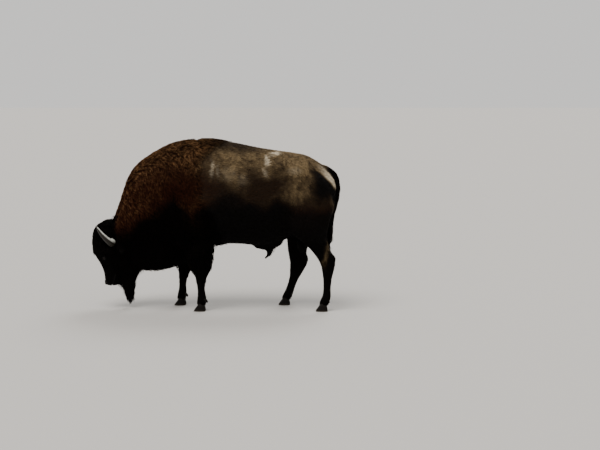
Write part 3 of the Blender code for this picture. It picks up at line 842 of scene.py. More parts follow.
def skin_mesh(sizes):
    """The surface of the flesh nodes, moved inwards by the coat's depth, with its fields."""
    flesh, tree, owners = flesh_mesh()
    mesh = remeshed(flesh, HIDE_FACE)
    points, edges, triangles = mesh_points(mesh), mesh_edges(mesh), mesh_triangles(mesh)[0]
    part = part_weights(points, edges, tree, owners)
    points = relaxed(points, edges, part)
    region = coat_regions(points, part)
    normals = vertex_normals(points, triangles)
    depth = averaged(coat_depths(points, region, sizes), edges, 4).ravel()
    body = averaged(thickness(points, normals, tree), edges, 3).ravel()
    depth = np.minimum(depth, body * (0.22 + 0.08 * part["dock"]))
    skin = sunk(points, triangles, edges, depth)
    normals = vertex_normals(skin, triangles)
    skin = skin + head_forms(skin, normals) * part["head"][:, None]
    skin = skin + body_forms(skin, normals) * (part["trunk"] + part["neck"])[:, None]
    set_points(mesh, skin)
    for name, values in {"depth": depth, **region, "upright": 1 - region["summer"]}.items():
        set_field(mesh, name, values)
    return mesh


def cut_openings(mesh, face):
    """Makes the faces of the head finer, and cuts the eyes and the nostrils."""
    bm = bmesh.new()
    bm.from_mesh(mesh)
    for where in SIDES.values():
        ear = middle(f"ear_{where}")
        finer(bm, lambda point: (point - ear).length < 0.12)
    on_face = EYE.z + 0.10
    finer(bm, lambda point: point.z < on_face and point.x < HEAD_LOW.x + 0.30 and point.z > 0.10)
    muzzle = HEAD_LOW.z + 0.12
    finer(bm, lambda point: point.z < muzzle and HEAD_LOW.x < point.x < -1.0 and point.z > 0.2)
    for side in SIDES:
        eye = mirrored(EYE, side)
        finer(bm, lambda point: (point - eye).length < 0.05)
    for side in SIDES:
        add_lids(bm, side, face)
        add_nostril(bm, side)
    bmesh.ops.recalc_face_normals(bm, faces=bm.faces)
    bmesh.ops.triangulate(bm, faces=[f for f in bm.faces if len(f.verts) > 4])
    in_fixed_order(bm)
    bm.to_mesh(mesh)
    bm.free()


class BISON_OT_hide(bpy.types.Operator):
    """One skin over the whole body, inside the tips of the coat, with the face's folds and openings"""

    bl_idname = "bison.hide"
    bl_label = "Hide"

    def execute(self, context):
        mesh = skin_mesh(context.scene.bison_coat)
        cut_openings(mesh, context.scene.bison_face)
        points = mesh_points(mesh)
        normals = vertex_normals(points, mesh_triangles(mesh)[0])
        face, ears = get_field(mesh, "face"), get_field(mesh, "ear")
        move = mouth_groove(points, normals) * face[:, None]
        for side in SIDES:
            move += ear_cup(points, normals, side) * ears[:, None]
        points = points + move
        set_points(mesh, points)
        for name, values in {"bare": bare_skin(points, face), **markings(points)}.items():
            set_field(mesh, name, values)
        mesh.update()
        hide = new_object("hide", mesh)
        unwrapped(hide)
        finish_piece(hide, hide_material(context.scene), FLESH)
        return {"FINISHED"}


# Hair and hide materials


def coat_colour(tree, coat, root_shade):
    """The colour of hair from the fields it carries: rust, bleaching with painted light, rubbed pale with a
    painted highlight, and near black with painted shade, over the main brown;
    darker at its root, partly as painted shade deep in the coat, and a little different from lock to lock."""
    field = {
        name: add_node(tree, "Attribute", {"attribute_name": name}).outputs["Fac"]
        for name in ("bleach_and_light", "rust", "pale", "deep", "wool", "along", "tone")
    }
    rgb = {name: (*getattr(coat, name), 1) for name in ("brown", "rust", "straw", "dun", "rubbed", "sable_and_shade")}
    # On the wool the bleaching and painted light reach the tips of the paler locks; elsewhere they reach
    # the whole coat.
    to_tip = add_node(
        tree, "MapRange", {"From Min": 0.25, "From Max": 0.95}, {"Value": field["along"]}
    ).outputs[0]
    paler = add_node(
        tree, "MapRange", {"From Min": 0.30, "To Max": 1.5}, {"Value": field["tone"]}
    ).outputs[0]
    on_tips = add_node(tree, "Math", {"operation": "MULTIPLY"}, {0: to_tip, 1: paler}).outputs[0]
    reach = add_node(
        tree, "Mix", {"data_type": "FLOAT", 2: 1.0}, {0: field["wool"], 3: on_tips}
    ).outputs[0]
    bleach_and_light_share = add_node(tree, "Math", {"operation": "MULTIPLY"}, {0: reach, 1: field["bleach_and_light"]}).outputs[0]
    base = add_node(
        tree, "Mix", {"data_type": "RGBA", 6: rgb["brown"], 7: rgb["rust"]}, {0: field["rust"]}
    ).outputs[2]
    bleached_and_lit_colour = add_node(
        tree, "Mix", {"data_type": "RGBA", 6: rgb["dun"], 7: rgb["straw"]}, {0: field["wool"]}
    ).outputs[2]
    base = add_node(tree, "Mix", {"data_type": "RGBA"}, {0: bleach_and_light_share, 6: base, 7: bleached_and_lit_colour}).outputs[2]
    # The rubbed colour also paints the highlight on the pin bones, and the near black also paints shade on
    # the lower body.
    for name, over in (("pale", "rubbed"), ("deep", "sable_and_shade")):
        base = add_node(
            tree, "Mix", {"data_type": "RGBA", 7: rgb[over]}, {0: field[name], 6: base}
        ).outputs[2]
    # Towards the root the hair is darker, most in the wool, and so is the hide under the wool: partly
    # painted shade deep in the coat between the locks.
    at_root = add_node(
        tree, "MapRange", {"To Min": root_shade, "To Max": 0.32}, {"Value": field["wool"]}
    ).outputs[0]
    shade = add_node(
        tree, "MapRange", {"To Max": 1.15}, {"Value": field["along"], "To Min": at_root}
    ).outputs[0]
    lock = add_node(tree, "MapRange", {"To Min": 0.55, "To Max": 1.45}, {"Value": field["tone"]}).outputs[0]
    value = add_node(tree, "Math", {"operation": "MULTIPLY"}, {0: shade, 1: lock}).outputs[0]
    return add_node(tree, "HueSaturation", {}, {"Value": value, "Color": base}).outputs[0]


def new_material(name):
    """A material with an empty node tree, and that tree."""
    material = bpy.data.materials.new(name)
    material.use_nodes = True
    material.node_tree.nodes.clear()
    return material, material.node_tree


def add_surface(tree, settings, links=None):
    """The Principled shader of a material with its settings and links, and the material's output."""
    shader = add_node(tree, "BsdfPrincipled", settings, links)
    add_node(tree, "OutputMaterial", {}, {"Surface": shader.outputs[0]})


def hair_material(name, coat, roughness, gloss, root_shade):
    """Bison hair: dry, keratin scales on thin strands, which give a soft broad sheen and no sharp light."""
    material, tree = new_material(name)
    settings = {"Roughness": roughness, "IOR": 1.55, "Specular IOR Level": gloss}
    add_surface(tree, settings, {"Base Color": coat_colour(tree, coat, root_shade)})
    return material


def hide_material(scene):
    """Hide under short hair: matt and finely furrowed where hair grows, wet-dark and pored where bare."""
    material, tree = new_material("furred hide")
    place = add_node(tree, "TexCoord").outputs["Object"]
    bare = add_node(tree, "Attribute", {"attribute_name": "bare"}).outputs["Fac"]
    # Single hairs are 0.05 mm across; their furrows are drawn about 4 mm wide and 25 mm long to show.
    furrows = []
    for scale in ((40, 250, 250), (250, 250, 40)):
        way = add_node(tree, "Mapping", {"Scale": scale}, {"Vector": place}).outputs[0]
        noise = add_node(tree, "TexNoise", {"Scale": 1.0, "Detail": 3.0}, {"Vector": way})
        furrows.append(noise.outputs["Fac"])
    # They lie along the barrel, and hang everywhere else.
    upright = add_node(tree, "Attribute", {"attribute_name": "upright"}).outputs["Fac"]
    furrow = add_node(
        tree, "Mix", {"data_type": "FLOAT"}, {0: upright, 2: furrows[0], 3: furrows[1]}
    ).outputs[0]
    contrast = {"From Min": 0.3, "From Max": 0.7, "To Min": 0.62, "To Max": 1.3}
    streak = add_node(tree, "MapRange", contrast, {"Value": furrow}).outputs[0]
    hair = coat_colour(tree, scene.bison_coat, 0.9)
    hair = add_node(tree, "HueSaturation", {}, {"Value": streak, "Color": hair}).outputs[0]
    # The muzzle's skin is divided into raised grains 2 to 3 mm across.
    grains = add_node(tree, "TexVoronoi", {"Scale": 420.0}, {"Vector": place}).outputs["Distance"]
    nose = {"data_type": "RGBA", 6: (*scene.bison_face.nose, 1), 7: (*linear("#100d0c"), 1)}
    skin = add_node(tree, "Mix", nose, {0: grains}).outputs[2]
    base = add_node(tree, "Mix", {"data_type": "RGBA"}, {0: bare, 6: hair, 7: skin}).outputs[2]
    roughness = add_node(tree, "MapRange", {"To Min": 0.90, "To Max": 0.40}, {"Value": bare}).outputs[0]
    relief = add_node(tree, "Mix", {"data_type": "FLOAT"}, {0: bare, 2: furrow, 3: grains}).outputs[0]
    bump = add_node(tree, "Bump", {"Strength": 0.6, "Distance": 0.003}, {"Height": relief}).outputs[0]
    add_surface(
        tree,
        {"IOR": 1.5, "Specular IOR Level": 0.08},
        {"Base Color": base, "Roughness": roughness, "Normal": bump},
    )
    return material


# Coat


class Lock(NamedTuple):
    """How a kind of lock grows. Lengths and widths are in metres, from the shortest to the longest."""

    length: tuple
    width: tuple
    flat: float  # its thickness as a share of its width
    rings: int  # bends along it
    stand: float  # how far its middle stands off the skin, as a share of the coat's depth
    curl: float  # how far it waves to either side
    wave: float  # length of one wave
    cling: float  # 1 follows the skin, 0 hangs free
    fall: float  # how strongly it turns to hang down
    flock: int  # how many locks share one tip, about
    pull: float  # how far they draw together there
    contrast: float  # how much their tones differ
    stray: float  # how far their directions differ, in radians


# A Lock's values, in order, for each kind of lock.
LOCK_ROWS = {
    "wool": ((0.06, 0.095), (0.008, 0.013), 0.55, 4, 1.12, 0.0075, 0.06, 0.8, 0.1, 7, 0.6, 1.0, 0.22),
    "bonnet": ((0.08, 0.13), (0.008, 0.013), 0.55, 5, 1.2, 0.0085, 0.07, 0.7, 0.2, 7, 0.5, 0.8, 0.6),
    "jowl": ((0.06, 0.105), (0.006, 0.01), 0.55, 4, 0.8, 0.0045, 0.06, 0.6, 0.3, 6, 0.6, 0.8, 0.3),
    "face": ((0.014, 0.022), (0.002, 0.0035), 0.4, 2, 0.55, 0.0006, 0.03, 1.0, 0.0, 3, 0.4, 0.6, 0.16),
    "ear": ((0.018, 0.034), (0.002, 0.004), 0.45, 3, 0.7, 0.0015, 0.03, 0.7, 0.15, 4, 0.5, 0.6, 0.2),
    "beard": ((0.11, 0.2), (0.006, 0.011), 0.55, 6, 0.7, 0.006, 0.11, 0.3, 0.6, 9, 0.7, 0.8, 0.2),
    "apron": ((0.09, 0.17), (0.008, 0.013), 0.55, 5, 0.7, 0.008, 0.075, 0.4, 0.5, 9, 0.7, 0.8, 0.22),
    "chaps": ((0.08, 0.15), (0.007, 0.012), 0.55, 5, 0.8, 0.0075, 0.07, 0.5, 0.45, 9, 0.7, 0.8, 0.22),
    "summer": ((0.028, 0.044), (0.003, 0.0055), 0.3, 2, 0.45, 0.0015, 0.06, 1.0, 0.0, 4, 0.5, 0.6, 0.18),
    "thigh": ((0.024, 0.036), (0.003, 0.005), 0.3, 2, 0.45, 0.001, 0.05, 1.0, 0.0, 4, 0.5, 0.5, 0.16),
    "shank": ((0.016, 0.026), (0.002, 0.0035), 0.35, 2, 0.5, 0.0006, 0.04, 1.0, 0.0, 3, 0.4, 0.5, 0.14),
    "coronet": ((0.034, 0.056), (0.0028, 0.0045), 0.4, 3, 1.6, 0.0008, 0.05, 0.3, 0.9, 4, 0.4, 0.5, 0.2),
    "dock": ((0.028, 0.045), (0.0025, 0.004), 0.4, 2, 0.3, 0.001, 0.04, 1.0, 0.0, 4, 0.5, 0.5, 0.14),
    "switch": ((0.09, 0.18), (0.004, 0.008), 0.5, 5, 0.7, 0.004, 0.12, 0.2, 0.7, 8, 0.7, 0.6, 0.14),
    "sheath": ((0.05, 0.09), (0.004, 0.007), 0.5, 4, 0.8, 0.003, 0.05, 0.2, 0.7, 9, 0.8, 0.6, 0.2),
}
LOCKS = {name: Lock(*row) for name, row in LOCK_ROWS.items()}
GROUND = 0.004  # no lock comes lower than this
INSET = 0.0005  # how far the coat stays inside the solids' box
ROOT_DEPTH = 0.002  # how far a lock's root is set into the skin
LEAST_HEIGHT = 0.0012  # of a lock's middle line over the skin
TUFT_PATCH = 0.003  # size of a lock's patch on the unwrap


class Skin:
    """The hide as arrays: its points, normals, triangles, fields, unwrap and the lie of its hair."""

    def __init__(self):
        mesh = bpy.data.objects["hide"].data
        self.points = mesh_points(mesh)
        self.triangles, corners = mesh_triangles(mesh)
        self.normals = vertex_normals(self.points, self.triangles)
        flat = np.empty(len(mesh.loops) * 2, np.float32)
        mesh.uv_layers["OFBake"].uv.foreach_get("vector", flat)
        self.unwrap = flat.reshape(-1, 2)[corners].astype(float)
        names = [*LOCKS, "depth", "bare", "bleach_and_light", "rust", "pale", "deep"]
        self.fields = {name: get_field(mesh, name) for name in names}
        self.lie = lie_of_hair(self.points, self.normals, self.fields)
        self.tree = KDTree(len(self.points))
        for i, point in enumerate(self.points):
            self.tree.insert(point, i)
        self.tree.balance()

    def nearest(self, points):
        """The number of the vertex nearest to each point."""
        return np.array([self.tree.find(point)[1] for point in points])


def lie_of_hair(points, normals, region):
    """The way the hair lies at each vertex, flat on the skin."""
    x, y, z = points.T
    side = np.sign(y)
    zero = np.zeros(len(points))
    top = ramp(normals[:, 2], 0.55, 0.85)
    haunch = ramp(x, 0.55, 0.90)
    back = np.stack([1 - 0.45 * haunch, side * 0.35 * top, -0.30 - 0.75 * haunch], axis=1)
    crest = ramp(np.abs(y), 0.17, 0.04) * ramp(normals[:, 2], 0.15, 0.45)
    mane = np.stack([0.50 + 0.6 * crest, side * 0.4 * top * (1 - crest), -0.95 + 1.5 * crest], axis=1)
    down = np.stack([zero + 0.30, zero, zero - 1], axis=1)
    forelock = np.stack([zero - 0.30, zero, zero - 1], axis=1)
    ears = np.stack([zero + 0.1, side, zero - 0.35], axis=1)
    tail_top = np.stack([zero + 0.8, zero, zero - 0.5], axis=1)
    on_crook = (region["dock"] * ramp(z, TAIL_HEAD - 0.14, TAIL_HEAD - 0.06))[:, None]
    lie = back * (region["summer"] + 0.3 * region["thigh"])[:, None] + mane * region["wool"][:, None]
    hanging = sum(region[n] for n in ("jowl", "face", "beard", "apron", "chaps", "shank"))
    hanging += region["thigh"] + region["switch"] + region["sheath"] + region["dock"]
    lie += down * hanging[:, None] + forelock * region["bonnet"][:, None]
    lie += ears * region["ear"][:, None] + tail_top * 3 * on_crook
    lie = flattened(lie, normals)
    turn = (cloud(points, 0.12, 31) - 0.5) * 1.0 + (cloud(points, 0.035, 32) - 0.5) * 0.7
    return lie * np.cos(turn)[:, None] + np.cross(normals, lie) * np.sin(turn)[:, None]


def lock_pattern(rings):
    """One lock of unit length and width: a three-sided cone, divided along its length.
    Returns its vertices and its triangles."""
    bm = bmesh.new()
    bmesh.ops.create_cone(bm, cap_ends=True, segments=3, radius1=1, radius2=0, depth=1)
    for ring in range(1, rings):
        height = Vector((0, 0, ring / rings - 0.5))
        bmesh.ops.bisect_plane(
            bm, geom=bm.verts[:] + bm.edges[:] + bm.faces[:], plane_co=height, plane_no=UP
        )
    bmesh.ops.triangulate(bm, faces=bm.faces)
    points = np.array([vert.co[:] for vert in bm.verts])
    faces = np.array([[vert.index for vert in face.verts] for face in bm.faces])
    bm.free()
    points[:, 2] += 0.5
    return points, faces


def scattered(skin, density, count, rng):
    """Roots spread evenly over the skin by density: triangle numbers and corner shares."""
    a, b, c = (skin.points[skin.triangles[:, i]] for i in range(3))
    area = np.linalg.norm(np.cross(b - a, c - a), axis=1) / 2
    weight = np.cumsum(area * density[skin.triangles].mean(axis=1))
    steps = (np.arange(count) + rng.random(count)) / count * weight[-1]
    triangle = np.minimum(np.searchsorted(weight, steps), len(weight) - 1)
    u, v = rng.random((2, count))
    flip = u + v > 1
    u, v = np.where(flip, 1 - u, u), np.where(flip, 1 - v, v)
    return triangle, np.stack([1 - u - v, u, v], axis=1)


def grown(skin, roots, normals, lie, length, lock, rng):
    """The line that each lock follows, as rows of points, and its turns outwards and to the side."""
    step = length / lock.rings
    line, heading, place = [roots - normals * ROOT_DEPTH], lie, roots
    out, sides = [normals], [np.cross(normals, lie)]
    phase = cloud(roots, 0.060, 41) * 14 + rng.normal(0, 0.4, len(roots))
    for ring in range(1, lock.rings + 1):
        t = ring / lock.rings
        heading = unit(heading + np.array([0, 0, -1.0]) * lock.fall / lock.rings)
        place = place + heading * step[:, None]
        near = skin.nearest(place)
        normal = skin.normals[near]
        height = np.sum((place - skin.points[near]) * normal, axis=1)
        arch = math.sin(math.pi * 0.72 * t) + 0.12 * t
        wanted = skin.fields["depth"][near] * lock.stand * arch
        kept = np.maximum(height + (wanted - height) * lock.cling, LEAST_HEIGHT)
        place = place + normal * (kept - height)[:, None]
        heading = unit(heading * (1 - 0.5 * lock.cling) + skin.lie[near] * 0.5 * lock.cling)
        side = unit(np.cross(normal, heading))
        turn = length * t / lock.wave * 2 * math.pi + phase
        bent = min(t * 3, 1) * lock.curl
        bend = side * (np.sin(turn) * bent)[:, None] + normal * (np.cos(turn) * bent * 0.45)[:, None]
        line.append(place + bend)
        out.append(normal)
        sides.append(side)
    return np.stack(line, 1), np.stack(out, 1), np.stack(sides, 1)


def gathered(line, flock, pull):
    """Draws the tips of neighbouring locks together, towards one leader in every flock."""
    leaders = np.arange(0, len(line), flock)
    tree = KDTree(len(leaders))
    for number, leader in enumerate(leaders):
        tree.insert(line[leader, 0], number)
    tree.balance()
    leader = leaders[[tree.find(root)[1] for root in line[:, 0]]]
    share = pull * np.linspace(0, 1, line.shape[1]) ** 1.4
    return line + (line[leader] - line) * share[:, None]


def joined(name, vertices, faces):
    """One mesh of many locks, from rows of vertices for each and the triangles that each has.
    Returns it and its corners' vertex numbers."""
    count, per_lock = vertices.shape[:2]
    indices = (faces[None] + (np.arange(count) * per_lock)[:, None, None]).reshape(-1)
    mesh = bpy.data.meshes.new(name)
    mesh.vertices.add(count * per_lock)
    set_points(mesh, vertices)
    mesh.loops.add(len(indices))
    mesh.loops.foreach_set("vertex_index", indices.astype(np.int32))
    mesh.polygons.add(len(indices) // 3)
    mesh.polygons.foreach_set("loop_start", np.arange(0, len(indices), 3, dtype=np.int32))
    mesh.update(calc_edges=True)
    return mesh, indices


THICK_AT = (0.65, 1.0, 0.86, 0.62, 0.34, 0.0)  # a lock's width from root to tip


def coat_piece(name, skin, kind, share, count, seed, material):
    """A piece of the coat: locks of one kind, grown where its share of the skin is."""
    rng = np.random.default_rng(seed)
    lock = LOCKS[kind]
    density = skin.fields[kind] * share * (1 - skin.fields["bare"])
    triangle, shares = scattered(skin, density, count, rng)
    corners = skin.triangles[triangle]

    def at_root(values):
        return np.einsum("nk,nk...->n...", shares, values[corners])

    roots, normals = at_root(skin.points), unit(at_root(skin.normals))
    lie = flattened(at_root(skin.lie), normals)
    turn = rng.normal(0, lock.stray, count)
    lie = lie * np.cos(turn)[:, None] + np.cross(normals, lie) * np.sin(turn)[:, None]
    fullness = ramp(at_root(skin.fields[kind]), 0.0, 0.8)
    length = rng.uniform(*lock.length, count) * (0.40 + 0.60 * fullness)
    line, out, sides = grown(skin, roots, normals, lie, length, lock, rng)
    line = gathered(line, lock.flock, lock.pull)

    pattern, faces = lock_pattern(lock.rings)
    ring = np.rint(pattern[:, 2] * lock.rings).astype(int)
    around = np.linalg.norm(pattern[:, :2], axis=1)
    profile = np.interp(pattern[:, 2], np.linspace(0, 1, len(THICK_AT)), THICK_AT)
    across, lift = pattern[:, :2].T / np.maximum(around, 1e-6) * profile / 2
    width = (rng.uniform(*lock.width, count) * (0.6 + 0.4 * fullness))[:, None, None]
    vertices = line[:, ring] + sides[:, ring] * across[:, None] * width
    vertices += out[:, ring] * lift[:, None] * width * lock.flat
    vertices = np.clip(vertices, np.array(CAD_LOW) + INSET, np.array(CAD_HIGH) - INSET)
    vertices[:, :, 2] = np.maximum(vertices[:, :, 2], GROUND)

    mesh, indices = joined(name, vertices, faces)
    per_lock = len(pattern)
    for field in ("bleach_and_light", "rust", "pale", "deep", "wool"):
        set_field(mesh, field, np.repeat(at_root(skin.fields[field]), per_lock))
    set_field(mesh, "along", np.tile(pattern[:, 2], count))
    set_field(mesh, "tone", np.repeat(0.5 + (rng.random(count) - 0.5) * lock.contrast, per_lock))
    patch = pattern[:, [0, 2]] * (0.5, 1.0) + (0, -0.5)
    place = np.einsum("nk,nkc->nc", shares, skin.unwrap[triangle])
    spot = np.clip(place[:, None] + patch[None] * TUFT_PATCH, 0, 1).reshape(-1, 2)[indices]
    mesh.uv_layers.new(name="OFBake").uv.foreach_set("vector", spot.astype(np.float32).ravel())
    finish_piece(new_object(name, mesh), material)


def coat_pieces(group, skin, counts, first_seed, material):
    """Pieces of the coat that take in both sides, one for each kind of lock."""
    everywhere = np.ones(len(skin.points))
    for seed, (kind, count) in enumerate(counts.items(), first_seed):
        coat_piece(f"{group}_{kind}", skin, kind, everywhere, count, seed, material)


def half(skin, side):
    """The skin on one side of the animal."""
    return (skin.points[:, 1] * side > 0).astype(float)


class BISON_OT_wool(bpy.types.Operator):
    """The woolly cape on neck, hump and shoulders, in four pieces"""

    bl_idname = "bison.wool"
    bl_label = "Cape wool"

    def execute(self, context):
        skin = Skin()
        material = hair_material("cape wool", context.scene.bison_coat, 0.85, 0.02, 0.85)
        split = CHEST + 0.02
        for side, where in SIDES.items():
            seed = 13 if side < 0 else 16
            for end, ahead in (("neck", 1), ("hump", -1)):
                share = half(skin, side) * ((split - skin.points[:, 0]) * ahead > 0)
                coat_piece(f"wool_{end}_{where}", skin, "wool", share, 6700, seed, material)
        return {"FINISHED"}


class BISON_OT_head_hair(bpy.types.Operator):
    """The bonnet, jowls, short face hair, ear fringes and beard"""

    bl_idname = "bison.head_hair"
    bl_label = "Head hair"

    def execute(self, context):
        skin = Skin()
        material = hair_material("head hair", context.scene.bison_coat, 0.80, 0.03, 0.55)
        counts = {"bonnet": 4400, "jowl": 2200, "face": 7200, "ear": 1500, "beard": 1700}
        coat_pieces("hair", skin, counts, 60, material)
        return {"FINISHED"}


class BISON_OT_skirts(bpy.types.Operator):
    """The long hair that hangs from chest and forearms, the sheath tuft and the tail's switch"""

    bl_idname = "bison.skirts"
    bl_label = "Skirts and switch"

    def execute(self, context):
        skin = Skin()
        material = hair_material("long guard hair", context.scene.bison_coat, 0.80, 0.03, 0.55)
        counts = {"apron": 3000, "chaps": 4000, "switch": 800, "sheath": 240}
        coat_pieces("hair", skin, counts, 80, material)
        return {"FINISHED"}


class BISON_OT_summer_coat(bpy.types.Operator):
    """The short summer coat on barrel, rump, thighs, shanks and dock"""

    bl_idname = "bison.summer_coat"
    bl_label = "Summer coat"

    def execute(self, context):
        skin = Skin()
        material = hair_material("summer coat", context.scene.bison_coat, 0.80, 0.03, 0.85)
        for side, where in SIDES.items():
            name = f"coat_barrel_{where}"
            coat_piece(name, skin, "summer", half(skin, side), 10000, 100 + side, material)
        counts = {"thigh": 4500, "shank": 7200, "coronet": 2000, "dock": 1500}
        coat_pieces("coat", skin, counts, 110, material)
        return {"FINISHED"}


# Eyes, horns and hooves


CORNEA = math.radians(42)  # half angle of the cornea and iris


class BISON_OT_eyes(bpy.types.Operator):
    """Two eyeballs with a raised cornea, a brown iris and a pupil that stays level"""

    bl_idname = "bison.eyes"
    bl_label = "Eyes"

    def execute(self, context):
        material = eye_material(context.scene.bison_face)
        for side, where in SIDES.items():
            centre, out = mirrored(EYE, side), eye_axes(side)[0]
            bm = bmesh.new()
            bmesh.ops.create_uvsphere(bm, u_segments=48, v_segments=32, radius=EYE_RADIUS - 0.0003)
            bmesh.ops.rotate(bm, verts=bm.verts, matrix=out.to_track_quat("Z", "Y").to_matrix())
            for vert in bm.verts:
                tilt = vert.co.angle(out)
                vert.co *= 1 + 0.05 * max(0, 1 - (tilt / CORNEA) ** 2)
                vert.co += centre
            mesh = as_mesh(bm, f"eyeball_{where}")
            away = unit(mesh_points(mesh) - np.array(centre))
            level = np.array(out.cross(UP).normalized())
            upward = np.cross(level, np.array(out))
            set_field(mesh, "tilt", np.arccos(np.clip(away @ np.array(out), -1, 1)) / CORNEA)
            across, above = away @ level, away @ upward
            set_field(mesh, "pupil", np.hypot(across / 0.42, above / 0.17))
            finish_piece(new_object(f"eyeball_{where}", mesh), material, [f"eye_{where}"])
        return {"FINISHED"}


def eye_material(face):
    """A wet eyeball: clear cornea over a brown iris, so one sharp light sits on a deep dark colour."""
    material, tree = new_material("wet eye")
    tilt = add_node(tree, "Attribute", {"attribute_name": "tilt"}).outputs["Fac"]
    pupil = add_node(tree, "Attribute", {"attribute_name": "pupil"}).outputs["Fac"]
    place = add_node(tree, "TexCoord").outputs["Object"]
    flecks = add_node(tree, "TexNoise", {"Scale": 900.0, "Detail": 4.0}, {"Vector": place}).outputs["Fac"]
    iris, white = (
        add_node(tree, "Mix", {"data_type": "RGBA", 6: (*dark, 1), 7: (*light, 1)}, {0: flecks}).outputs[2]
        for dark, light in ((linear("#0c0705"), face.iris), (linear("#160e09"), linear("#33251c")))
    )
    in_pupil = add_node(tree, "MapRange", {"From Min": 0.9, "From Max": 1.1}, {"Value": pupil}).outputs[0]
    seen = add_node(
        tree, "Mix", {"data_type": "RGBA", 6: (*linear("#020203"), 1)}, {0: in_pupil, 7: iris}
    ).outputs[2]
    past_iris = add_node(tree, "MapRange", {"From Min": 0.92, "From Max": 1.08}, {"Value": tilt}).outputs[0]
    base = add_node(tree, "Mix", {"data_type": "RGBA"}, {0: past_iris, 6: seen, 7: white}).outputs[2]
    tear_film = {"Coat Weight": 0.45, "Coat IOR": 1.38, "Coat Roughness": 0.03}
    add_surface(tree, {"Roughness": 0.12, "Specular IOR Level": 0.0, **tear_film}, {"Base Color": base})
    return material


def lofted(bm, segments, stations, place):
    """A closed tube: a circle of vertices extruded from station to station, closed at both ends.
    place(station, angle) says where a vertex goes."""
    ring = bmesh.ops.create_circle(bm, segments=segments, radius=1)["verts"]
    angles = [2 * math.pi * i / segments for i in range(segments)]
    for vert, angle in zip(ring, angles):
        vert.co = place(stations[0], angle)
    first = ring
    for station in stations[1:]:
        edges = [bm.edges.get((a, b)) for a, b in zip(ring, ring[1:] + ring[:1])]
        made = set(bmesh.ops.extrude_edge_only(bm, edges=edges)["geom"])
        ring = [next(e.other_vert(v) for e in v.link_edges if e.other_vert(v) in made) for v in ring]
        for vert, angle in zip(ring, angles):
            vert.co = place(station, angle)
    for loop in (first, ring):
        edges = [bm.edges.get((a, b)) for a, b in zip(loop, loop[1:] + loop[:1])]
        closed_off(bm, edges)
    bmesh.ops.recalc_face_normals(bm, faces=bm.faces)


# The middle line of the right horn, from inside the brow to the tip, and the horn's radius there.
HORN_LINE = (
    ((-1.060, 0.120, 0.708), 0.041),
    ((-1.050, 0.190, 0.700), 0.039),
    ((-1.056, 0.255, 0.716), 0.034),
    ((-1.082, 0.300, 0.752), 0.029),
    ((-1.118, 0.320, 0.797), 0.023),
    ((-1.153, 0.317, 0.843), 0.015),
    ((-1.181, 0.300, 0.884), 0.003),
)


def along_line(rows, t):
    """The value at share t of a smooth curve through the rows."""
    place = min(max(t, 0), 1) * (len(rows) - 1)
    i = min(int(place), len(rows) - 2)
    u = place - i
    a, b, c, d = (rows[min(max(i + k, 0), len(rows) - 1)] for k in (-1, 0, 1, 2))
    return 0.5 * (2 * b + (c - a) * u + (2 * a - 5 * b + 4 * c - d) * u**2 + (3 * b - a - 3 * c + d) * u**3)


class BISON_OT_horns(bpy.types.Operator):
    """Two short upcurved horns with growth rings towards the base"""

    bl_idname = "bison.horns"
    bl_label = "Horns"

    def execute(self, context):
        sizes = context.scene.bison_horn
        material = horn_material(sizes)
        for side, where in SIDES.items():
            rows = [Vector((*mirrored(point, side), radius)) for point, radius in HORN_LINE]
            span = sum((b.xyz - a.xyz).length for a, b in zip(rows, rows[1:]))

            def place(t, angle):
                here = along_line(rows, t)
                ahead = (along_line(rows, t + 0.01).xyz - along_line(rows, t - 0.01).xyz).normalized()
                outward = ahead.cross(Vector((0, 1, 0))).cross(ahead).normalized()
                across = ahead.cross(outward)
                ringed = ramp(t, 0.75, 0.25) * 0.0011
                ripple = abs(math.sin(math.pi * t * span / sizes.ring_spacing)) * ringed
                uneven = 0.0010 * math.sin(3 * angle + 5 * t) * (1 - t)
                radius = here.w * ramp(t, 1.02, 0.90) ** 0.5 + ripple + uneven
                flat = across * math.sin(angle) * radius * 0.92
                return here.xyz + outward * math.cos(angle) * radius + flat

            bm = bmesh.new()
            lofted(bm, 40, [i / 110 for i in range(111)], place)
            mesh = as_mesh(bm, f"horn_sheath_{where}")
            points = mesh_points(mesh)
            line = np.array([along_line(rows, t / 60).xyz[:] for t in range(61)])
            nearest = np.argmin(np.linalg.norm(points[:, None] - line[None], axis=2), axis=1)
            set_field(mesh, "along", nearest / 60)
            finish_piece(new_object(f"horn_sheath_{where}", mesh), material, [f"horn_{where}"])
        return {"FINISHED"}


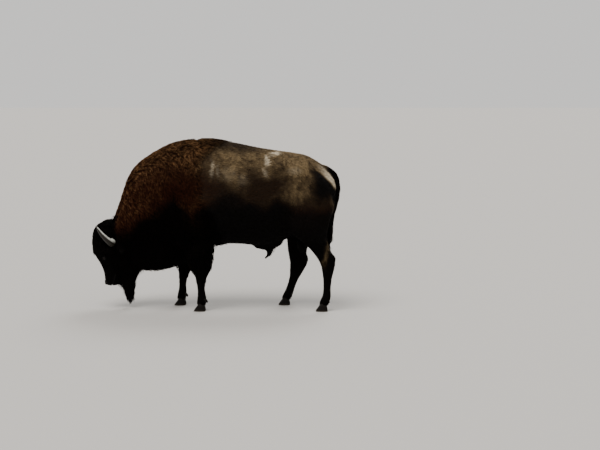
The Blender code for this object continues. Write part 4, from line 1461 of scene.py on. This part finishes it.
def horn_material(sizes):
    """Horn: dark keratin, polished near the tip, dry and finely split towards the base, with a painted
    highlight of the sky in pale grey blotches on its upper side.
    """
    material, tree = new_material("weathered horn keratin")
    place = add_node(tree, "TexCoord").outputs["Object"]
    along = add_node(tree, "Attribute", {"attribute_name": "along"}).outputs["Fac"]
    # Keratin fibres are 0.2 mm; the streaks that they form are drawn 2 mm wide.
    fibres = add_node(
        tree, "TexNoise", {"Scale": 180.0, "Detail": 6.0, "Roughness": 0.7}, {"Vector": place}
    ).outputs["Fac"]
    blotch = add_node(tree, "TexNoise", {"Scale": 28.0, "Detail": 3.0}, {"Vector": place}).outputs["Fac"]
    # The upper side is painted pale grey in blotches: a painted highlight of the sky.
    normal = add_node(tree, "NewGeometry").outputs["Normal"]
    facing = add_node(
        tree, "VectorMath", {"operation": "DOT_PRODUCT", 1: (0.60, 0.0, 0.80)}, {0: normal}
    ).outputs["Value"]
    upper = add_node(tree, "MapRange", {"From Min": 0.45, "From Max": 0.85}, {"Value": facing}).outputs[0]
    contrast = {"From Min": 0.35, "From Max": 0.65, "To Min": 0.35, "To Max": 1.0}
    mottled = add_node(tree, "MapRange", contrast, {"Value": blotch}).outputs[0]
    upper_highlight = add_node(tree, "Math", {"operation": "MULTIPLY"}, {0: upper, 1: mottled}).outputs[0]
    keratin = {"data_type": "RGBA", 6: (*sizes.keratin, 1), 7: (*linear("#2a251e"), 1)}
    base = add_node(tree, "Mix", keratin, {0: fibres}).outputs[2]
    base = add_node(
        tree, "Mix", {"data_type": "RGBA", 7: (*sizes.upper_highlight, 1)}, {0: upper_highlight, 6: base}
    ).outputs[2]
    roughness = add_node(tree, "MapRange", {"To Min": 0.52, "To Max": 0.24}, {"Value": along}).outputs[0]
    bump = add_node(tree, "Bump", {"Strength": 0.4, "Distance": 0.0008}, {"Height": fibres}).outputs[0]
    add_surface(
        tree,
        {"IOR": 1.54, "Specular IOR Level": 0.2},
        {"Base Color": base, "Roughness": roughness, "Normal": bump},
    )
    return material


def hoof_material(sizes):
    """Hoof wall: hard dull keratin, scuffed paler at the ground edge and dusty in its growth rings."""
    material, tree = new_material("scuffed hoof keratin")
    place = add_node(tree, "TexCoord").outputs["Object"]
    height = add_node(tree, "SeparateXYZ", {}, {0: place}).outputs["Z"]
    # Wall tubules run down the hoof 0.3 mm apart; drawn 3 mm apart.
    stretched = add_node(tree, "Mapping", {"Scale": (330, 330, 30)}, {"Vector": place}).outputs[0]
    tubules = add_node(
        tree, "TexNoise", {"Scale": 1.0, "Detail": 4.0}, {"Vector": stretched}
    ).outputs["Fac"]
    low = add_node(
        tree, "MapRange", {"From Min": 0.022, "From Max": 0.0, "To Max": 0.45}, {"Value": height}
    ).outputs[0]
    dust = add_node(tree, "Math", {"operation": "MULTIPLY"}, {0: low, 1: tubules}).outputs[0]
    wall = {"data_type": "RGBA", 6: (*sizes.hoof, 1), 7: (*linear("#564c3f"), 1)}
    base = add_node(tree, "Mix", wall, {0: dust}).outputs[2]
    bump = add_node(tree, "Bump", {"Strength": 0.4, "Distance": 0.0006}, {"Height": tubules}).outputs[0]
    settings = {"Roughness": 0.55, "IOR": 1.54, "Specular IOR Level": 0.06}
    add_surface(tree, settings, {"Base Color": base, "Normal": bump})
    return material


def claw_mesh(name, low, high, inner):
    """One claw of a cloven hoof in its node's box: straight beside its partner, round outside, sloped
    in front, with a heel behind and a top that goes up under the hair. inner is its partner's side."""
    long_half, wide_half, tall = (high.x - low.x) / 2, (high.y - low.y) / 2, high.z - low.z
    centre = (low + high) / 2

    def place(t, angle):
        rise = min(t, 1.0)
        toe = long_half * (1 - 0.80 * rise)
        heel = long_half * (1 - 0.06 * rise - 0.22 * rise**3)
        forward, sideways = math.cos(angle), math.sin(angle)
        reach = toe if forward > 0 else heel
        rounded = math.copysign(abs(sideways) ** 0.8, sideways)
        to_partner = sideways * inner > 0
        breadth = wide_half * (0.93 if to_partner else 1.0) * (1 - 0.26 * rise)
        pinch = 1 - 0.30 * max(forward, 0) ** 2
        ripple = 0.0007 * math.sin(t * tall / 0.0055 * math.pi) ** 2 * (t > 0.1)
        squeeze = 0.90 if t < 0.02 else 1 - 0.60 * (max(t - 0.80, 0) / 0.45) ** 1.6
        swell = (1 + ripple / wide_half) * squeeze
        x = centre.x - forward * reach * swell
        y = centre.y + rounded * breadth * pinch * swell
        return Vector((x, y, low.z + tall * max(t - 0.02, 0)))

    bm = bmesh.new()
    stations = [0, 0.021, 0.05, *(0.05 + i / 30 for i in range(1, 29)), 1.02, 1.12, 1.25]
    lofted(bm, 36, stations, place)
    return as_mesh(bm, name)


def dewclaw_mesh(name, low, high):
    """A dewclaw in its node's box: a short blunt cone that comes out of the pastern and points down."""
    tall, wide = high.z - low.z, high.y - low.y
    centre = (low + high) / 2
    root, tip = Vector((low.x - 0.020, centre.y, high.z - 0.002)), Vector((high.x - 0.010, centre.y, low.z))
    bm = bmesh.new()

    def place(t, angle):
        size = math.sqrt(max(1 - t**4, 0.0))
        here = root.lerp(tip, t) + Vector((0, 0, 0.007 * math.sin(math.pi * t)))
        here.y += math.cos(angle) * size * wide * 0.42
        return here + Vector((0.55, 0, 0.83)) * math.sin(angle) * size * tall * 0.25

    lofted(bm, 20, [0, 0.15, 0.3, 0.45, 0.6, 0.75, 0.87, 0.95, 0.99], place)
    return as_mesh(bm, name)


class BISON_OT_hooves(bpy.types.Operator):
    """Eight claws and eight dewclaws, one for each node"""

    bl_idname = "bison.hooves"
    bl_label = "Hooves"

    def execute(self, context):
        material = hoof_material(context.scene.bison_horn)
        for leg, half_name in itertools.product(LEGS, ("left", "right")):
            node = f"claw_{leg}_{half_name}"
            inner = 1 if half_name == "left" else -1
            claw = new_object(f"hoof_{leg}_{half_name}", claw_mesh(node, *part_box(node), inner))
            finish_piece(claw, material, [node])
            node = f"dewclaw_{leg}_{half_name}"
            dewclaw = new_object(f"spur_{leg}_{half_name}", dewclaw_mesh(node, *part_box(node)))
            finish_piece(dewclaw, material, [node])
        return {"FINISHED"}


# Stage


class BISON_OT_stage(bpy.types.Operator):
    """A plain pale floor, soft studio light and the camera"""

    bl_idname = "bison.stage"
    bl_label = "Stage"

    def execute(self, context):
        scene, settings = context.scene, context.scene.bison_stage
        bm = bmesh.new()
        bmesh.ops.create_grid(bm, x_segments=1, y_segments=1, size=90)
        mesh = as_mesh(bm, "floor")
        floor = new_object("floor", mesh)
        material, tree = new_material("matt painted floor")
        add_surface(tree, {"Base Color": (*settings.floor, 1), "Roughness": 0.9})
        mesh.materials.append(material)

        world = bpy.data.worlds.new("soft daylight")
        world.use_nodes = True
        world.node_tree.nodes.clear()
        daylight = {"Color": (*linear("#fffdfa"), 1), "Strength": 0.85}
        sky = add_node(world.node_tree, "Background", daylight)
        add_node(world.node_tree, "OutputWorld", {}, {"Surface": sky.outputs[0]})
        scene.world = world

        for name, place, softness, power, tint in (
            ("key", (-1.8, -2.2, 6.4), 35, 3.6, "#fffaf4"),
            ("rim", (1.8, 4.0, 5.5), 30, 1.7, "#fffdfa"),
        ):
            light = bpy.data.lights.new(name, "SUN")
            light.angle, light.energy, light.color = math.radians(softness), power, linear(tint)
            lamp = bpy.data.objects.new(name, light)
            lamp.location = place
            lamp.rotation_euler = (-Vector(place)).to_track_quat("-Z", "Y").to_euler()
            scene.collection.objects.link(lamp)

        # Seen from the left, a little above its back, with open ground behind the rump.
        target = Vector((0.847, 0, 0.857))
        elevation = math.radians(7)
        back = Vector((0, -math.cos(elevation), math.sin(elevation)))
        lens = bpy.data.cameras.new("camera")
        lens.sensor_width = 36
        lens.lens = 70.56 * settings.camera_distance / 12.0
        camera = bpy.data.objects.new("camera", lens)
        camera.location = target + back * settings.camera_distance
        camera.rotation_euler = (-back).to_track_quat("-Z", "Y").to_euler()
        scene.collection.objects.link(camera)
        scene.camera = camera
        return {"FINISHED"}


OPERATORS = (
    BISON_OT_hide,
    BISON_OT_eyes,
    BISON_OT_horns,
    BISON_OT_hooves,
    BISON_OT_wool,
    BISON_OT_head_hair,
    BISON_OT_skirts,
    BISON_OT_summer_coat,
    BISON_OT_stage,
)
GROUPS = {
    "bison_coat": BisonCoat,
    "bison_face": BisonFace,
    "bison_horn": BisonHorn,
    "bison_stage": BisonStage,
}


class BISON_PT_panel(bpy.types.Panel):
    """Sizes, colours and the steps that make the model"""

    bl_idname = "BISON_PT_panel"
    bl_label = "Plains Bison"
    bl_space_type = "VIEW_3D"
    bl_region_type = "UI"
    bl_category = "Bison"

    def draw(self, context):
        for group in GROUPS:
            box = self.layout.box()
            settings = getattr(context.scene, group)
            for name in settings.bl_rna.properties.keys():
                if name not in ("rna_type", "name"):
                    box.prop(settings, name)
        for operator in OPERATORS:
            self.layout.operator(operator.bl_idname)


def register():
    """Registers the settings, the operators and the panel."""
    for group in GROUPS.values():
        bpy.utils.register_class(group)
    for name, group in GROUPS.items():
        setattr(bpy.types.Scene, name, PointerProperty(type=group))
    for operator in (*OPERATORS, BISON_PT_panel):
        bpy.utils.register_class(operator)


def unregister():
    """Takes them out again."""
    for operator in reversed((*OPERATORS, BISON_PT_panel)):
        bpy.utils.unregister_class(operator)
    for name, group in reversed(GROUPS.items()):
        delattr(bpy.types.Scene, name)
        bpy.utils.unregister_class(group)


def main():
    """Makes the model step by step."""
    register()
    for operator in OPERATORS:
        group, name = operator.bl_idname.split(".")
        getattr(getattr(bpy.ops, group), name)()


if __name__ == "__main__":
    main()
